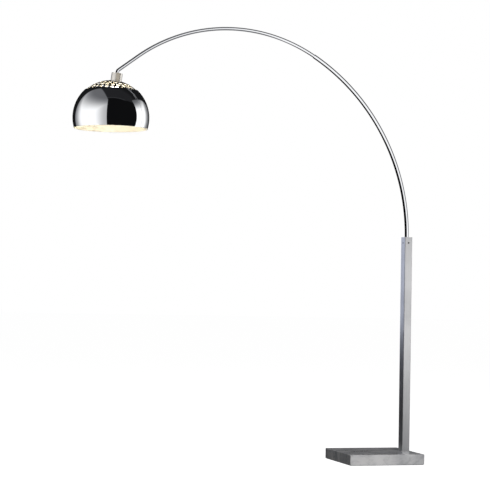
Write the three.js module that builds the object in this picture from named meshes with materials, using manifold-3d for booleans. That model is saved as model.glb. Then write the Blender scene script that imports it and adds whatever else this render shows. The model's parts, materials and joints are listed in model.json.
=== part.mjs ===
// Arc floor lamp: a stone slab, a square-section post, a two-piece arched arm and a spherical
// shade whose chrome bowl slides on a perforated dome. Millimetres, +Z up, the arm reaches
// towards -X, and the origin is the centre of the slab's underside, on the floor.

import * as THREE from "three";
import * as BufferGeometryUtils from "three/addons/utils/BufferGeometryUtils.js";
import Module from "manifold-3d";

const wasm = await Module();
wasm.setup();

// ---------------------------------------------------------------- driving dimensions

const GAP = 0.3; // clearance between pieces that touch
const RUNNING_GAP = 0.25; // radial clearance of pieces that turn in one another

const BASE_LENGTH = 380; // along X
const BASE_WIDTH = 380; // along Y
const STONE_THICKNESS = 50;
const STONE_CHAMFER = 1.5;
const FELT_THICKNESS = 2;
const FELT_INSET = 4;

const POST_EDGE_DISTANCE = 15; // post face to the slab's edge
const POST_DEPTH = 55; // along Y
const POST_WALL = 3;
const POST_CORNER_RADIUS = 2;
const POST_HEIGHT = 1062; // above the slab

const LOWER_TUBE_RADIUS = 10.5;
const TUBE_WALL = 1.5;
const SLIDING_FIT = 0.5; // radial room of the upper section in the lower one
const LOWER_BEND_RADIUS = 1022;
const LOWER_BEND_DEGREES = 59.3;
const CROWN_BEND_RADIUS = 795;
const CROWN_BEND_DEGREES = 67.7;
const TAIL_LENGTH = 122; // straight end of the arm, up to the elbow's centre
const ARM_DEPTH = 200; // how far the arm stands in the post
const OVERLAP_LENGTH = 70; // how far the upper section plugs into the lower one
const TUBE_SIDES = 12;
const BEND_FLATNESS = 0.43; // most that a straight step of a bend leaves its true arc

const BUSH_WALL = 2;
const BLOCK_SIDE_WALL = 2.3;
const SOCKET_BLOCK_HEIGHT = 60;
const SEAT_BLOCK_HEIGHT = 32;
const SEAT_FLOOR = 12;
const THRUST_WASHER_THICKNESS = 1.5;
const FOOT_BLOCK_HEIGHT = 60;

const SET_SCREW_RADIUS = 4;
const SET_SCREW_DROP = 29; // below the post's top
const SET_SCREW_RECESS = 0.4;

const BOLT_RADIUS = 5;
const BOLT_HEAD_RADIUS = 9.6;
const BOLT_HEAD_HEIGHT = 6.4;
const BOLT_GRIP = 35; // thread held in the foot block
const BOLT_SPACING = 26;
const BOLT_WASHER_RADIUS = 10.5;
const BOLT_WASHER_THICKNESS = 2;
const PLATE_LENGTH = 40;
const PLATE_WIDTH = 100;
const PLATE_THICKNESS = 6;
const POCKET_DEPTH = 18;
const POCKET_MARGIN = 2;

const WIRE_RADIUS = 2.2;
const GLAND_HEIGHT = 135; // above the floor
const GLAND_RADIUS = 6;
const GLAND_FLANGE_RADIUS = 9;
const GLAND_BORE_RADIUS = 3.2;

const SHADE_RADIUS = 182.5;
const SHEET_THICKNESS = 1.2;
const GLIDE_SPACE = 2.8; // between the dome's outside and the bowl's inside
const NECK_DEGREES = 44; // from the bowl's axis to its upper edge
const RIM_DROP = 52; // bowl's rim below the sphere's centre
const DOME_EDGE_DEGREES = 70;
const GLIDE_RING_DEGREES = [65.5, 68.5];
const GLIDE_RING_THICKNESS = 0.9;
const HEAD_LEAN_DEGREES = 7; // head axis from the vertical, towards +X

const HOLE_RADIUS = 9.5;
const HOLE_PITCH = 25;
const FIRST_ROW_ARC = 87; // along the dome from its pole
const ROW_PITCH = 23.2;
const HOLE_ROWS = 3;
const HOLE_SIDES = 6;

const CUP_RADIUS = 26.5;
const CUP_WALL = 1.5;
const CUP_TOP_THICKNESS = 3;
const CUP_HEIGHT = 38;
const ELBOW_RISE = 13; // cup top to the elbow's centre
const NIPPLE_RADIUS = 5;
const NIPPLE_BORE_RADIUS = 3.2;
const SPIGOT_LENGTH = 20;
const NIPPLE_GRIP = 9; // nipple held in the elbow

const HOLDER_RADIUS = 19.5;
const HOLDER_FLANGE_RADIUS = 23;
const HOLDER_FLANGE_THICKNESS = 3.5;
const HOLDER_CAVITY_RADIUS = 15.2;
const HOLDER_TOP_BELOW_CUP = 11;
const HOLDER_ROOF = 9;
const HOLDER_DEPTH = 42;
const DOME_RING_RADIUS = 27;
const DOME_RING_HEIGHT = 8;
const SHELL_WALL = 0.6;

const BULB_CAP_RADIUS = 13.1;
const BULB_CAP_HEIGHT = 24;
const BULB_RADIUS = 30;
const BULB_GLASS_LENGTH = 82;
const BULB_GLASS_WALL = 1;

const FINE_SEGMENTS = 40;
const DOME_SEGMENTS = 28;
const SMALL_SEGMENTS = 16;

// ---------------------------------------------------------------- derived dimensions

const STONE_BOTTOM = FELT_THICKNESS;
const SLAB_TOP = FELT_THICKNESS + STONE_THICKNESS;
const POST_TOP = SLAB_TOP + POST_HEIGHT;

const UPPER_TUBE_RADIUS = LOWER_TUBE_RADIUS - TUBE_WALL - SLIDING_FIT;
const BUSH_BORE_RADIUS = snug(LOWER_TUBE_RADIUS + RUNNING_GAP, SMALL_SEGMENTS);
const BUSH_RADIUS = BUSH_BORE_RADIUS + BUSH_WALL;
const BLOCK_BORE_RADIUS = snug(BUSH_RADIUS + GAP, SMALL_SEGMENTS);
const BLOCK_WIDTH = 2 * (BLOCK_BORE_RADIUS + BLOCK_SIDE_WALL);
const POST_WIDTH = BLOCK_WIDTH + 2 * (GAP + POST_WALL); // along X
const BLOCK_DEPTH = POST_DEPTH - 2 * (GAP + POST_WALL);
const POST_X = BASE_LENGTH / 2 - POST_EDGE_DISTANCE - POST_WIDTH / 2;

const ARM_FOOT = POST_TOP - ARM_DEPTH;
const SEAT_FLOOR_TOP = ARM_FOOT - GAP - THRUST_WASHER_THICKNESS;
const SEAT_BLOCK_BOTTOM = SEAT_FLOOR_TOP - SEAT_FLOOR;
const SET_SCREW_HEIGHT = POST_TOP - SET_SCREW_DROP;

const LOWER_BEND = THREE.MathUtils.degToRad(LOWER_BEND_DEGREES);
const CROWN_BEND = THREE.MathUtils.degToRad(CROWN_BEND_DEGREES);
const ARM_HEADING = LOWER_BEND + CROWN_BEND; // from straight up, at the arm's end
const HEAD_LEAN = THREE.MathUtils.degToRad(HEAD_LEAN_DEGREES);

const BOWL_INNER_RADIUS = SHADE_RADIUS - SHEET_THICKNESS;
const DOME_RADIUS = BOWL_INNER_RADIUS - GLIDE_SPACE;
const DOME_INNER_RADIUS = DOME_RADIUS - SHEET_THICKNESS;
const DOME_MOUTH_RADIUS = HOLDER_RADIUS + 2 * GAP;

const CUP_BOTTOM = heightOnSphere(DOME_RADIUS, CUP_RADIUS - CUP_WALL) + GAP;
const CUP_TOP = CUP_BOTTOM + CUP_HEIGHT;
const UPPER_BORE_FLAT = (UPPER_TUBE_RADIUS - TUBE_WALL) * Math.cos(Math.PI / TUBE_SIDES);
const ELBOW_COLLAR = Math.sqrt(UPPER_TUBE_RADIUS ** 2 - UPPER_BORE_FLAT ** 2); // clear of the ball
const ELBOW_HEIGHT = CUP_TOP + ELBOW_RISE; // above the sphere's centre, on the head axis
const HOLDER_TOP = CUP_TOP - HOLDER_TOP_BELOW_CUP;
const HOLDER_BOTTOM = HOLDER_TOP - HOLDER_DEPTH;
const HOLDER_CAVITY_TOP = HOLDER_TOP - HOLDER_ROOF;
const FLANGE_BOTTOM = heightOnSphere(DOME_RADIUS, DOME_MOUTH_RADIUS) + GAP;
const BULB_CAP_TOP = HOLDER_CAVITY_TOP - 4;
const BULB_CAP_BOTTOM = BULB_CAP_TOP - BULB_CAP_HEIGHT;

// ---------------------------------------------------------------- shape helpers

/** Radius whose polygon of `sides` sides still clears a circle of `radius`. */
function snug(radius, sides) {
  return radius / Math.cos(Math.PI / sides);
}

/** Height of a sphere's surface above its centre, at `offset` from its axis. */
function heightOnSphere(radius, offset) {
  return Math.sqrt(radius ** 2 - offset ** 2);
}

/** A closed mesh as a solid that can be joined and cut. */
function solid(geometry) {
  const bare = geometry.clone();
  bare.deleteAttribute("normal");
  bare.deleteAttribute("uv");
  const merged = BufferGeometryUtils.mergeVertices(bare, 1e-4);
  const corners = merged.index.array;
  const kept = [];
  for (let i = 0; i < corners.length; i += 3) {
    const [a, b, c] = corners.slice(i, i + 3);
    if (a !== b && b !== c && c !== a) {
      kept.push(a, b, c);
    }
  }
  const vertProperties = new Float32Array(merged.attributes.position.array);
  const triVerts = new Uint32Array(kept);
  return new wasm.Manifold(new wasm.Mesh({ numProp: 3, vertProperties, triVerts }));
}

/** A solid as a three.js geometry. */
function surface(body) {
  const mesh = body.getMesh();
  const geometry = new THREE.BufferGeometry();
  geometry.setAttribute("position", new THREE.BufferAttribute(mesh.vertProperties, 3));
  geometry.setIndex(new THREE.BufferAttribute(mesh.triVerts, 1));
  const flat = geometry.toNonIndexed();
  flat.computeVertexNormals();
  return flat;
}

/** `body` with every cutter taken away, as a geometry. */
function cut(body, cutters) {
  const left = cutters.reduce((rest, cutter) => rest.subtract(solid(cutter)), solid(body));
  return surface(left);
}

/** All pieces joined into one, as a geometry. */
function join(pieces) {
  const [first, ...others] = pieces.map(solid);
  return surface(others.reduce((sum, piece) => sum.add(piece), first));
}

/** Round or many-sided bar on the Z axis, from `low` to `high`. */
function bar(radius, low, high, sides = SMALL_SEGMENTS) {
  const geometry = new THREE.CylinderGeometry(radius, radius, high - low, sides);
  geometry.rotateX(Math.PI / 2);
  geometry.translate(0, 0, (low + high) / 2);
  return geometry;
}

/** Box centred on the Z axis, from `low` to `high`. */
function block(width, depth, low, high) {
  const geometry = new THREE.BoxGeometry(width, depth, high - low);
  geometry.translate(0, 0, (low + high) / 2);
  return geometry;
}

/** Piece turned about the Z axis from a closed outline of [radius, height] points. */
function turned(outline, segments = SMALL_SEGMENTS) {
  const points = outline.map(([radius, height]) => new THREE.Vector2(radius, height));
  if (THREE.ShapeUtils.area(points) < 0) {
    points.reverse();
  }
  points.push(points[0].clone());
  const geometry = new THREE.LatheGeometry(points, segments);
  geometry.rotateX(Math.PI / 2);
  return geometry;
}

/** Plain ring on the Z axis. */
function ring(inner, outer, low, high, segments = SMALL_SEGMENTS) {
  return turned([[inner, low], [outer, low], [outer, high], [inner, high]], segments);
}

/** Outline points on a circle about the origin; angles are in degrees from the axis. */
function arcOutline(radius, fromDegrees, toDegrees, steps) {
  const points = [];
  for (let i = 0; i <= steps; i += 1) {
    const angle = THREE.MathUtils.degToRad(fromDegrees + ((toDegrees - fromDegrees) * i) / steps);
    points.push([radius * Math.sin(angle), radius * Math.cos(angle)]);
  }
  return points;
}

/** Part of a spherical sheet between two angles from its axis. */
function sphereZone(inner, outer, fromDegrees, toDegrees, steps, segments = FINE_SEGMENTS) {
  const outside = arcOutline(outer, fromDegrees, toDegrees, steps);
  const inside = arcOutline(inner, toDegrees, fromDegrees, steps);
  return turned([...outside, ...inside], segments);
}

/** Rectangle with round corners, centred on the origin. */
function roundedRectangle(width, depth, radius, outline = new THREE.Shape()) {
  const x = width / 2 - radius;
  const y = depth / 2 - radius;
  const quarter = Math.PI / 2;
  outline.absarc(x, y, radius, 0, quarter);
  outline.absarc(-x, y, radius, quarter, 2 * quarter);
  outline.absarc(-x, -y, radius, 2 * quarter, 3 * quarter);
  outline.absarc(x, -y, radius, 3 * quarter, 4 * quarter);
  outline.closePath();
  return outline;
}

/** Regular polygon about the origin, as a shape or, given a Path, as a hole. */
function polygon(radius, sides, outline = new THREE.Shape()) {
  const corners = [];
  for (let i = 0; i < sides; i += 1) {
    const angle = (2 * Math.PI * i) / sides;
    corners.push(new THREE.Vector2(radius * Math.cos(angle), radius * Math.sin(angle)));
  }
  return outline.setFromPoints(corners);
}

/** Route of straight stretches whose sections stand exactly on its points. */
class Route extends THREE.Curve {
  constructor(points) {
    super();
    this.points = points;
  }

  getPoint(t, target = new THREE.Vector3()) {
    const place = THREE.MathUtils.clamp(t, 0, 1) * (this.points.length - 1);
    const index = Math.min(Math.floor(place), this.points.length - 2);
    return target.lerpVectors(this.points[index], this.points[index + 1], place - index);
  }

  getUtoTmapping(u) {
    return u;
  }
}

/** Tube or, with no bore, a wire along a route of points. */
function tubeAlong(points, radius, boreRadius, sides) {
  const section = polygon(radius, sides);
  if (boreRadius > 0) {
    section.holes.push(polygon(boreRadius, sides, new THREE.Path()));
  }
  const extrudePath = new Route(points);
  return new THREE.ExtrudeGeometry(section, { steps: points.length - 1, extrudePath });
}

/** Geometry moved so that its +Z axis points along `direction` and its origin is at `place`. */
function aimed(geometry, direction, place) {
  const turn = new THREE.Quaternion();
  turn.setFromUnitVectors(new THREE.Vector3(0, 0, 1), direction.clone().normalize());
  geometry.applyQuaternion(turn);
  geometry.translate(place.x, place.y, place.z);
  return geometry;
}

// ---------------------------------------------------------------- arm line

/** Point on a bend about a centre in the XZ plane; `heading` is measured from straight up. */
function bendPoint(centre, radius, heading) {
  const x = centre.x + radius * Math.cos(heading);
  return new THREE.Vector3(x, 0, centre.z + radius * Math.sin(heading));
}

/** Number of straight steps that keeps a bend within BEND_FLATNESS of its arc. */
function bendSteps(radius, angle) {
  return Math.ceil(angle * Math.sqrt(radius / (8 * BEND_FLATNESS)));
}

/** Points at even steps on a bend, both ends included. */
function bendPoints(centre, radius, from, to) {
  const steps = bendSteps(radius, to - from);
  const points = [];
  for (let i = 0; i <= steps; i += 1) {
    points.push(bendPoint(centre, radius, from + ((to - from) * i) / steps));
  }
  return points;
}

const lowerCentre = new THREE.Vector3(POST_X - LOWER_BEND_RADIUS, 0, POST_TOP);
const jointPoint = bendPoint(lowerCentre, LOWER_BEND_RADIUS, LOWER_BEND);
const towardsCentre = new THREE.Vector3(-Math.cos(LOWER_BEND), 0, -Math.sin(LOWER_BEND));
const crownCentre = jointPoint.clone().addScaledVector(towardsCentre, CROWN_BEND_RADIUS);
const crownEnd = bendPoint(crownCentre, CROWN_BEND_RADIUS, ARM_HEADING);
const armDirection = new THREE.Vector3(-Math.sin(ARM_HEADING), 0, Math.cos(ARM_HEADING));
const elbowCentre = crownEnd.clone().addScaledVector(armDirection, TAIL_LENGTH);
const headAxis = new THREE.Vector3(Math.sin(HEAD_LEAN), 0, Math.cos(HEAD_LEAN));
const shadeCentre = elbowCentre.clone().addScaledVector(headAxis, -ELBOW_HEIGHT);

/** Point on the head axis, `height` above the shade's centre. */
function onHeadAxis(height) {
  return shadeCentre.clone().addScaledVector(headAxis, height);
}

/** Route of the lower section: its straight foot, then its bend up to `to`. */
function lowerRoute(to) {
  const foot = new THREE.Vector3(POST_X, 0, ARM_FOOT);
  const bend = bendPoints(lowerCentre, LOWER_BEND_RADIUS, 0, to);
  return [foot, ...bend];
}

/** Route of the crown bend and the straight tail, which stops `short` of the elbow's centre. */
function crownRoute(short) {
  const bend = bendPoints(crownCentre, CROWN_BEND_RADIUS, LOWER_BEND, ARM_HEADING);
  const end = elbowCentre.clone().addScaledVector(armDirection, -short);
  return [...bend, end];
}

// ---------------------------------------------------------------- materials and nodes

const lamp = new THREE.Group();
const head = new THREE.Group(); // leans with the head axis
head.position.copy(shadeCentre);
head.rotation.y = HEAD_LEAN;
const bowlPlace = new THREE.Group(); // upright
bowlPlace.position.copy(shadeCentre);
lamp.add(head, bowlPlace);

/** Standard material from a colour, a roughness and a metalness. */
function finish(color, roughness, metalness) {
  return new THREE.MeshStandardMaterial({ color, roughness, metalness });
}

const marble = () => finish(0xb9bac0, 0.25, 0);
const felt = () => finish(0x2a2a2c, 0.95, 0);
const brushedSteel = () => finish(0xb4b6be, 0.35, 1);
const chrome = () => finish(0xdfe2e6, 0.06, 1);
const zincSteel = () => finish(0x9a9ca0, 0.45, 1);
const blackSteel = () => finish(0x222224, 0.5, 0.8);
const brass = () => finish(0xb08d4a, 0.35, 1);
const nylon = () => finish(0xd8d6cc, 0.5, 0);
const rubber = () => finish(0x1b1b1d, 0.8, 0);
const cable = () => finish(0x1f1f21, 0.6, 0);
const porcelain = () => finish(0xf0ede4, 0.3, 0);
const warmGlass = () => finish(0xfff1cf, 0.4, 0);

/** Adds one named piece to `parent`. */
function add(name, geometry, material, parent = lamp) {
  const mesh = new THREE.Mesh(geometry, material);
  mesh.name = name;
  parent.add(mesh);
  return mesh;
}

/** Adds one named piece whose own Z axis is the post's axis. */
function addToPost(name, geometry, material) {
  add(name, geometry, material).position.x = POST_X;
}

// ---------------------------------------------------------------- slab and its fixings

/** Y places of the two bolts that hold the post, front then rear. */
const boltPlaces = { front: -BOLT_SPACING / 2, rear: BOLT_SPACING / 2 };
const PLATE_TOP = STONE_BOTTOM + POCKET_DEPTH - GAP;
const PLATE_BOTTOM = PLATE_TOP - PLATE_THICKNESS;
const BOLT_TOP = SLAB_TOP + BOLT_GRIP;
const BOLT_SEAT = PLATE_BOTTOM - 2 * GAP - BOLT_WASHER_THICKNESS;

function pocketCutter(margin, low, high) {
  const cutter = block(PLATE_LENGTH + 2 * margin, PLATE_WIDTH + 2 * margin, low, high);
  cutter.translate(POST_X, 0, 0);
  return cutter;
}

function boltCutters(radius, low, high) {
  return Object.values(boltPlaces).map((y) => bar(radius, low, high).translate(POST_X, y, 0));
}

function buildStone() {
  const inset = 2 * STONE_CHAMFER;
  const outline = new THREE.Shape();
  const x = (BASE_LENGTH - inset) / 2;
  const y = (BASE_WIDTH - inset) / 2;
  outline.setFromPoints([[-x, -y], [x, -y], [x, y], [-x, y]].map(([u, v]) => new THREE.Vector2(u, v)));
  const slab = new THREE.ExtrudeGeometry(outline, {
    depth: STONE_THICKNESS - inset,
    bevelSize: STONE_CHAMFER,
    bevelThickness: STONE_CHAMFER,
    bevelSegments: 1,
  });
  slab.translate(0, 0, STONE_BOTTOM + STONE_CHAMFER);
  const pocket = pocketCutter(POCKET_MARGIN, STONE_BOTTOM - 1, STONE_BOTTOM + POCKET_DEPTH);
  const bores = boltCutters(BOLT_RADIUS + 2 * GAP, STONE_BOTTOM, SLAB_TOP + 1);
  return cut(slab, [pocket, ...bores]);
}

function buildFelt() {
  const width = BASE_LENGTH - 2 * FELT_INSET;
  const depth = BASE_WIDTH - 2 * FELT_INSET;
  const sheet = block(width, depth, 0, FELT_THICKNESS);
  return cut(sheet, [pocketCutter(POCKET_MARGIN, -1, FELT_THICKNESS + 1)]);
}

add("marble_base", buildStone(), marble());
add("felt_pad", buildFelt(), felt());

const plate = block(PLATE_LENGTH, PLATE_WIDTH, PLATE_BOTTOM, PLATE_TOP);
plate.translate(POST_X, 0, 0);
const plateBores = boltCutters(BOLT_RADIUS + 2 * GAP, PLATE_BOTTOM - 1, PLATE_TOP + 1);
add("clamp_plate", cut(plate, plateBores), zincSteel());

for (const [side, y] of Object.entries(boltPlaces)) {
  const shank = bar(BOLT_RADIUS, BOLT_SEAT - 1, BOLT_TOP);
  const hexagon = bar(BOLT_HEAD_RADIUS, BOLT_SEAT - BOLT_HEAD_HEIGHT, BOLT_SEAT, 6);
  const bolt = join([shank, hexagon]).translate(POST_X, y, 0);
  add(`clamp_bolt_${side}`, bolt, zincSteel());
  const washerBottom = BOLT_SEAT + GAP;
  const washerTop = washerBottom + BOLT_WASHER_THICKNESS;
  const washer = ring(BOLT_RADIUS + GAP, BOLT_WASHER_RADIUS, washerBottom, washerTop);
  add(`clamp_washer_${side}`, washer.translate(POST_X, y, 0), zincSteel());
}

// ---------------------------------------------------------------- post

const screwAxes = {
  side: { direction: new THREE.Vector3(-1, 0, 0), reach: POST_WIDTH / 2 },
  front: { direction: new THREE.Vector3(0, -1, 0), reach: POST_DEPTH / 2 },
};

/** Cutters for the two set screws, about the post's axis. */
function screwCutters() {
  const place = new THREE.Vector3(0, 0, SET_SCREW_HEIGHT);
  const radius = SET_SCREW_RADIUS + GAP;
  return Object.values(screwAxes).map(({ direction, reach }) =>
    aimed(bar(radius, 1, reach + 1), direction, place),
  );
}

function buildPostTube() {
  const outline = roundedRectangle(POST_WIDTH, POST_DEPTH, POST_CORNER_RADIUS);
  const innerWidth = POST_WIDTH - 2 * POST_WALL;
  const innerDepth = POST_DEPTH - 2 * POST_WALL;
  outline.holes.push(roundedRectangle(innerWidth, innerDepth, GAP, new THREE.Path()));
  const tube = new THREE.ExtrudeGeometry(outline, {
    depth: POST_HEIGHT,
    bevelEnabled: false,
    curveSegments: 3,
  });
  tube.translate(0, 0, SLAB_TOP);
  const glandPlace = new THREE.Vector3(0, 0, GLAND_HEIGHT);
  const glandAxis = new THREE.Vector3(1, 0, 0);
  const glandCutter = aimed(bar(GLAND_RADIUS + GAP, 1, POST_WIDTH), glandAxis, glandPlace);
  return cut(tube, [...screwCutters(), glandCutter]);
}

function buildFootBlock() {
  const low = SLAB_TOP;
  const body = block(BLOCK_WIDTH, BLOCK_DEPTH, low, low + FOOT_BLOCK_HEIGHT);
  const bores = Object.values(boltPlaces).map((y) =>
    bar(BOLT_RADIUS + GAP, low - 1, BOLT_TOP + BOLT_RADIUS).translate(0, y, 0),
  );
  return cut(body, bores);
}

function buildSocketBlock() {
  const low = POST_TOP - SOCKET_BLOCK_HEIGHT;
  const body = block(BLOCK_WIDTH, BLOCK_DEPTH, low, POST_TOP);
  const bore = bar(BLOCK_BORE_RADIUS, low - 1, POST_TOP + 1);
  return cut(body, [bore, ...screwCutters()]);
}

function buildSeatBlock() {
  const high = SEAT_BLOCK_BOTTOM + SEAT_BLOCK_HEIGHT;
  const body = block(BLOCK_WIDTH, BLOCK_DEPTH, SEAT_BLOCK_BOTTOM, high);
  const pocket = bar(BUSH_BORE_RADIUS, SEAT_FLOOR_TOP, high + 1);
  const wireBore = bar(2 * WIRE_RADIUS, SEAT_BLOCK_BOTTOM - 1, SEAT_FLOOR_TOP + 1);
  return cut(body, [pocket, wireBore]);
}

addToPost("post_tube", buildPostTube(), brushedSteel());
addToPost("post_foot_block", buildFootBlock(), zincSteel());
addToPost("arm_socket_block", buildSocketBlock(), brushedSteel());
addToPost("arm_seat_block", buildSeatBlock(), zincSteel());

const bushLow = POST_TOP - SOCKET_BLOCK_HEIGHT;
addToPost("arm_bush", ring(BUSH_BORE_RADIUS, BUSH_RADIUS, bushLow, POST_TOP), nylon());

const thrustWasher = ring(
  2 * WIRE_RADIUS,
  LOWER_TUBE_RADIUS,
  SEAT_FLOOR_TOP + GAP / 2,
  SEAT_FLOOR_TOP + GAP / 2 + THRUST_WASHER_THICKNESS,
);
addToPost("thrust_washer", thrustWasher, brass());

for (const [name, { direction, reach }] of Object.entries(screwAxes)) {
  const outerEnd = reach - SET_SCREW_RECESS;
  const body = bar(SET_SCREW_RADIUS, BUSH_RADIUS + GAP, outerEnd, 16);
  const hexSocket = bar(SET_SCREW_RADIUS / 2, outerEnd - 2, outerEnd + 1, 6);
  const place = new THREE.Vector3(0, 0, SET_SCREW_HEIGHT);
  addToPost(`set_screw_${name}`, aimed(cut(body, [hexSocket]), direction, place), blackSteel());
}

function buildGland() {
  const wallInside = POST_WIDTH / 2 - POST_WALL;
  const face = POST_WIDTH / 2 + GAP / 2;
  const outline = [
    [GLAND_BORE_RADIUS, wallInside - 3],
    [GLAND_RADIUS, wallInside - 3],
    [GLAND_RADIUS, face],
    [GLAND_FLANGE_RADIUS, face],
    [GLAND_FLANGE_RADIUS, face + 1.5],
    [GLAND_RADIUS, face + 5],
    [GLAND_BORE_RADIUS, face + 5],
  ];
  const place = new THREE.Vector3(0, 0, GLAND_HEIGHT);
  return aimed(turned(outline), new THREE.Vector3(1, 0, 0), place);
}

addToPost("cable_gland", buildGland(), rubber());

/** Wire inside the post: from the gland, round one bend, and up to the arm's seat. */
function buildPostWire() {
  const start = POST_WIDTH / 2 - POST_WALL - 3 - GAP;
  const points = [];
  const steps = 6;
  for (let i = 0; i <= steps; i += 1) {
    const angle = (Math.PI / 2) * (i / steps);
    const x = start * (1 - Math.sin(angle));
    const z = GLAND_HEIGHT + start * (1 - Math.cos(angle));
    points.push(new THREE.Vector3(x, 0, z));
  }
  points.push(new THREE.Vector3(0, 0, SEAT_FLOOR_TOP - GAP));
  return tubeAlong(points, WIRE_RADIUS, 0, 8);
}

addToPost("post_wire", buildPostWire(), cable());

// ---------------------------------------------------------------- arm

const lockHeading = LOWER_BEND - 2 * LOWER_TUBE_RADIUS / LOWER_BEND_RADIUS;
const lockDirection = new THREE.Vector3(-Math.cos(lockHeading), 0, -Math.sin(lockHeading));
const lockPlace = bendPoint(lowerCentre, LOWER_BEND_RADIUS, lockHeading);
const LOCK_SCREW_RADIUS = 2.5;

function buildLowerSection() {
  const boreRadius = LOWER_TUBE_RADIUS - TUBE_WALL;
  const route = lowerRoute(LOWER_BEND);
  const tube = tubeAlong(route, LOWER_TUBE_RADIUS, boreRadius, TUBE_SIDES);
  const screwBore = bar(LOCK_SCREW_RADIUS + GAP, 1, 2 * LOWER_TUBE_RADIUS, 12);
  return cut(tube, [aimed(screwBore, lockDirection, lockPlace)]);
}

function buildUpperSection() {
  const from = LOWER_BEND - OVERLAP_LENGTH / LOWER_BEND_RADIUS;
  const plugged = bendPoints(lowerCentre, LOWER_BEND_RADIUS, from, LOWER_BEND).slice(0, -1);
  const route = [...plugged, ...crownRoute(ELBOW_COLLAR + GAP)];
  return tubeAlong(route, UPPER_TUBE_RADIUS, UPPER_TUBE_RADIUS - TUBE_WALL, TUBE_SIDES);
}

/** Wire inside the arm, from its foot to the lamp holder. */
function buildArmWire() {
  const cornerStart = elbowCentre.clone().addScaledVector(armDirection, -NIPPLE_RADIUS);
  const cornerEnd = onHeadAxis(ELBOW_HEIGHT - NIPPLE_RADIUS);
  const corner = new THREE.QuadraticBezierCurve3(cornerStart, elbowCentre, cornerEnd);
  const route = [
    ...lowerRoute(LOWER_BEND),
    ...crownRoute(NIPPLE_RADIUS).slice(1, -1),
    ...corner.getPoints(4),
    onHeadAxis(HOLDER_TOP),
    onHeadAxis(HOLDER_CAVITY_TOP + GAP),
  ];
  return tubeAlong(route, WIRE_RADIUS, 0, 8);
}

add("arm_lower_section", buildLowerSection(), chrome());
add("arm_upper_section", buildUpperSection(), chrome());
const lockBody = bar(LOCK_SCREW_RADIUS, UPPER_TUBE_RADIUS + GAP, LOWER_TUBE_RADIUS - GAP, 12);
add("arm_lock_screw", aimed(lockBody, lockDirection, lockPlace), blackSteel());
add("arm_wire", buildArmWire(), cable());

// ---------------------------------------------------------------- head: elbow, cup and holder

function buildElbow() {
  const centre = new THREE.Vector3(0, 0, ELBOW_HEIGHT);
  const backAngle = Math.PI - ARM_HEADING - HEAD_LEAN; // head axis to the arm's line
  const backwards = new THREE.Vector3(Math.sin(backAngle), 0, Math.cos(backAngle));
  const radius = UPPER_TUBE_RADIUS;
  const spigotRadius = UPPER_TUBE_RADIUS - TUBE_WALL - 2 * GAP;
  const knuckle = new THREE.SphereGeometry(radius, TUBE_SIDES, TUBE_SIDES / 2);
  const outside = join([
    bar(radius, CUP_TOP + GAP, ELBOW_HEIGHT, TUBE_SIDES),
    knuckle.rotateX(Math.PI / 2).translate(0, 0, ELBOW_HEIGHT),
    aimed(bar(radius, 0, ELBOW_COLLAR, TUBE_SIDES), backwards, centre),
    aimed(bar(spigotRadius, 0, ELBOW_COLLAR + SPIGOT_LENGTH, TUBE_SIDES), backwards, centre),
  ]);
  const wireBoreRadius = WIRE_RADIUS + 6 * GAP;
  return cut(outside, [
    bar(NIPPLE_RADIUS + GAP, CUP_TOP - 1, CUP_TOP + NIPPLE_GRIP + GAP),
    bar(wireBoreRadius, CUP_TOP - 1, ELBOW_HEIGHT, 12),
    new THREE.SphereGeometry(wireBoreRadius, 12, 6).translate(0, 0, ELBOW_HEIGHT),
    aimed(bar(wireBoreRadius, 0, SPIGOT_LENGTH + 10, 12), backwards, centre),
  ]);
}

function buildCup() {
  const inner = CUP_RADIUS - CUP_WALL;
  const boreRadius = NIPPLE_RADIUS + GAP;
  const edge = 0.8;
  return turned(
    [
      [boreRadius, CUP_TOP - CUP_TOP_THICKNESS],
      [inner, CUP_TOP - CUP_TOP_THICKNESS],
      [inner, CUP_BOTTOM],
      [CUP_RADIUS, CUP_BOTTOM],
      [CUP_RADIUS, CUP_TOP - edge],
      [CUP_RADIUS - edge, CUP_TOP],
      [boreRadius, CUP_TOP],
    ],
    FINE_SEGMENTS,
  );
}

function buildHolder() {
  const throat = NIPPLE_RADIUS + GAP;
  const flangeTop = FLANGE_BOTTOM + HOLDER_FLANGE_THICKNESS;
  return turned([
    [throat, HOLDER_TOP],
    [HOLDER_RADIUS - 6, HOLDER_TOP],
    [HOLDER_RADIUS, HOLDER_TOP - 6],
    [HOLDER_RADIUS, flangeTop],
    [HOLDER_FLANGE_RADIUS, flangeTop],
    [HOLDER_FLANGE_RADIUS, FLANGE_BOTTOM],
    [HOLDER_RADIUS, FLANGE_BOTTOM],
    [HOLDER_RADIUS, HOLDER_BOTTOM],
    [HOLDER_CAVITY_RADIUS, HOLDER_BOTTOM],
    [HOLDER_CAVITY_RADIUS, HOLDER_CAVITY_TOP],
    [throat, HOLDER_CAVITY_TOP],
  ]);
}

add("arm_elbow", buildElbow(), chrome(), head);
add("socket_cup", buildCup(), brushedSteel(), head);

const nippleLow = HOLDER_TOP - HOLDER_ROOF + 3;
const nipple = ring(NIPPLE_BORE_RADIUS, NIPPLE_RADIUS, nippleLow, CUP_TOP + NIPPLE_GRIP);
add("threaded_nipple", nipple, zincSteel(), head);

const nutTop = CUP_TOP - CUP_TOP_THICKNESS - 1 - 2 * GAP;
const lockWasher = ring(NIPPLE_RADIUS + GAP, 8.5, nutTop + GAP, nutTop + GAP + 1);
add("cup_lock_washer", lockWasher, zincSteel(), head);
const nutBody = bar(8.5, nutTop - 4, nutTop, 6);
add("cup_lock_nut", cut(nutBody, [bar(NIPPLE_RADIUS + GAP, 0, CUP_TOP)]), brass(), head);

add("lamp_holder", buildHolder(), porcelain(), head);

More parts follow.
